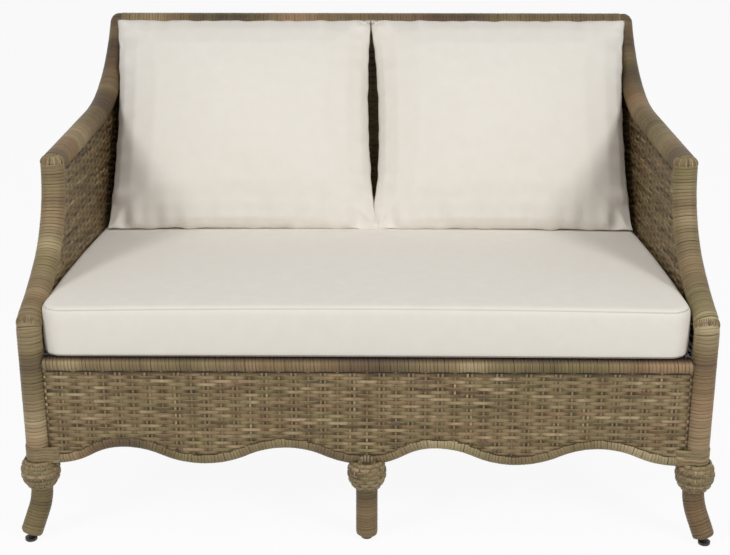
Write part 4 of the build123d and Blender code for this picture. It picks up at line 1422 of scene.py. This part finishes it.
def settle(places, inner, outer):
    """Moves the edges of a pillow and lets its lower seam down on the seat cushion."""
    up = np.clip(places[:, 1] / pillow_half_height, -1, 1)
    share = places[:, 0] / pillow_half_width
    places[:, 0] += np.interp(up, edge_heights, inner) * np.clip(share, 0, 1) ** 1.5
    places[:, 0] -= np.interp(up, edge_heights, outer) * np.clip(-share, 0, 1) ** 1.5
    places[:, 1] -= bottom_sag * np.clip(-up, 0, 1) ** 3 + top_sag * np.clip(up, 0, 1) ** 3
    # The lower seam slides forward on the seat cushion, and lifts off it here and there
    slid = np.clip((-up - 0.75) / 0.25, 0, 1) ** 2
    places[:, 2] += bottom_slide * slid
    places[:, 1] -= bottom_drop * slid
    places[:, 1] += bottom_lift * slid**4 * (1 + gathers(places[:, 0] * 0.8, 3))
    return places


right_way, up_way = Vector((1, 0, 0)), Vector((0, sin(pillow_lean), cos(pillow_lean)))
facing = Vector((0, -cos(pillow_lean), sin(pillow_lean)))
turn = Matrix((right_way, up_way, facing)).transposed().to_4x4()
for name, side in side_names.items():
    piece = into_scene(f"back_pillow_{name}", pillow.data.copy())
    piece.data.name = piece.name
    shaped = settle(read_points(pillow), inner_edge[name], outer_edge[name])
    if side > 0:
        shaped[:, 0] *= -1
    write_points(piece, shaped)
    if side > 0:
        piece.data.flip_normals()
    rim = np.abs(shaped[:, 2])
    store(piece, "seam", np.where(rim < off_seam, np.abs(rim - rim_line), off_seam))
    middle = Vector((side * (pillow_half_width + pillow_gap / 2), pillow_middle.y, pillow_middle.z))
    piece.data.transform(Matrix.Translation(middle) @ turn)
    smooth(piece, 80)
    dress(piece, "cushion_cover", f"back_cushion_{name}", f"back_cushion_cover_{name}")
    print(piece.name, [round(value, 4) for value in piece.dimensions])
bpy.data.objects.remove(pillow)

# %% [markdown]
# The floor and the light are a photographer's white sweep: two soft lights high in
# front, one from each side, so that each arm shades the corner behind it. To the
# camera the floor is nearly white by itself, and only a faint shadow is left on it.

# %% White sweep
white_light = (1, 1, 1, 1)
floor_size, floor_glow, ambient_strength = 30, 0.93, 0.24


def seen_directly(tree, *rays):
    """1 where a ray of these kinds looks, and 0 where light only bounces."""
    path = add_node(tree, "ShaderNodeLightPath")
    seen = path.outputs[rays[0]]
    for ray in rays[1:]:
        seen = add_node(tree, "ShaderNodeMath", {0: seen, 1: path.outputs[ray]},
                        operation="MAXIMUM").outputs[0]
    return seen


bpy.ops.object.select_all(action="DESELECT")
bpy.ops.mesh.primitive_plane_add(size=floor_size)
floor = bpy.context.object
floor.name = "studio_floor"
floor_material, tree = new_material("white sweep")
seen = seen_directly(tree, "Is Camera Ray", "Is Glossy Ray", "Is Transmission Ray")
share = add_node(tree, "ShaderNodeMath", {0: seen, 1: floor_glow}, operation="MULTIPLY")
matt = add_node(tree, "ShaderNodeBsdfDiffuse", {"Color": linear("#F2F2F0")})
glow = add_node(tree, "ShaderNodeEmission", {"Color": white_light, "Strength": 1.0})
mixed = add_node(tree, "ShaderNodeMixShader", {0: share.outputs[0], 1: matt.outputs[0], 2: glow.outputs[0]})
finish_material(tree, mixed)
floor.data.materials.append(floor_material)

world = bpy.data.worlds.new("studio")
world.use_nodes = True
tree = world.node_tree
tree.nodes.clear()
seen = seen_directly(tree, "Is Camera Ray", "Is Glossy Ray")
ambient = add_node(tree, "ShaderNodeBackground", {"Color": white_light, "Strength": ambient_strength})
white = add_node(tree, "ShaderNodeBackground", {"Color": white_light, "Strength": 1.0})
mixed = add_node(tree, "ShaderNodeMixShader", {0: seen, 1: ambient.outputs[0], 2: white.outputs[0]})
output = tree.nodes.new("ShaderNodeOutputWorld")
tree.links.new(mixed.outputs[0], output.inputs["Surface"])
bpy.context.scene.world = world

# %% Lights
light_target = (0, 0, 0.45)
lights = {"left_light": ((-2.3, -2.5, 2.35), 1.0, 42), "right_light": ((2.3, -2.5, 2.35), 1.0, 48),
          "high_light": ((0, -1.3, 3.2), 1.4, 21)}
for name, (place, size, power) in lights.items():
    data = bpy.data.lights.new(name, "AREA")
    data.shape, data.size, data.energy = "DISK", size, power
    lamp = into_scene(name, data)
    lamp.location = place
    lamp.rotation_euler = (Vector(light_target) - Vector(place)).to_track_quat("-Z", "Y").to_euler()
print("lights", list(lights))
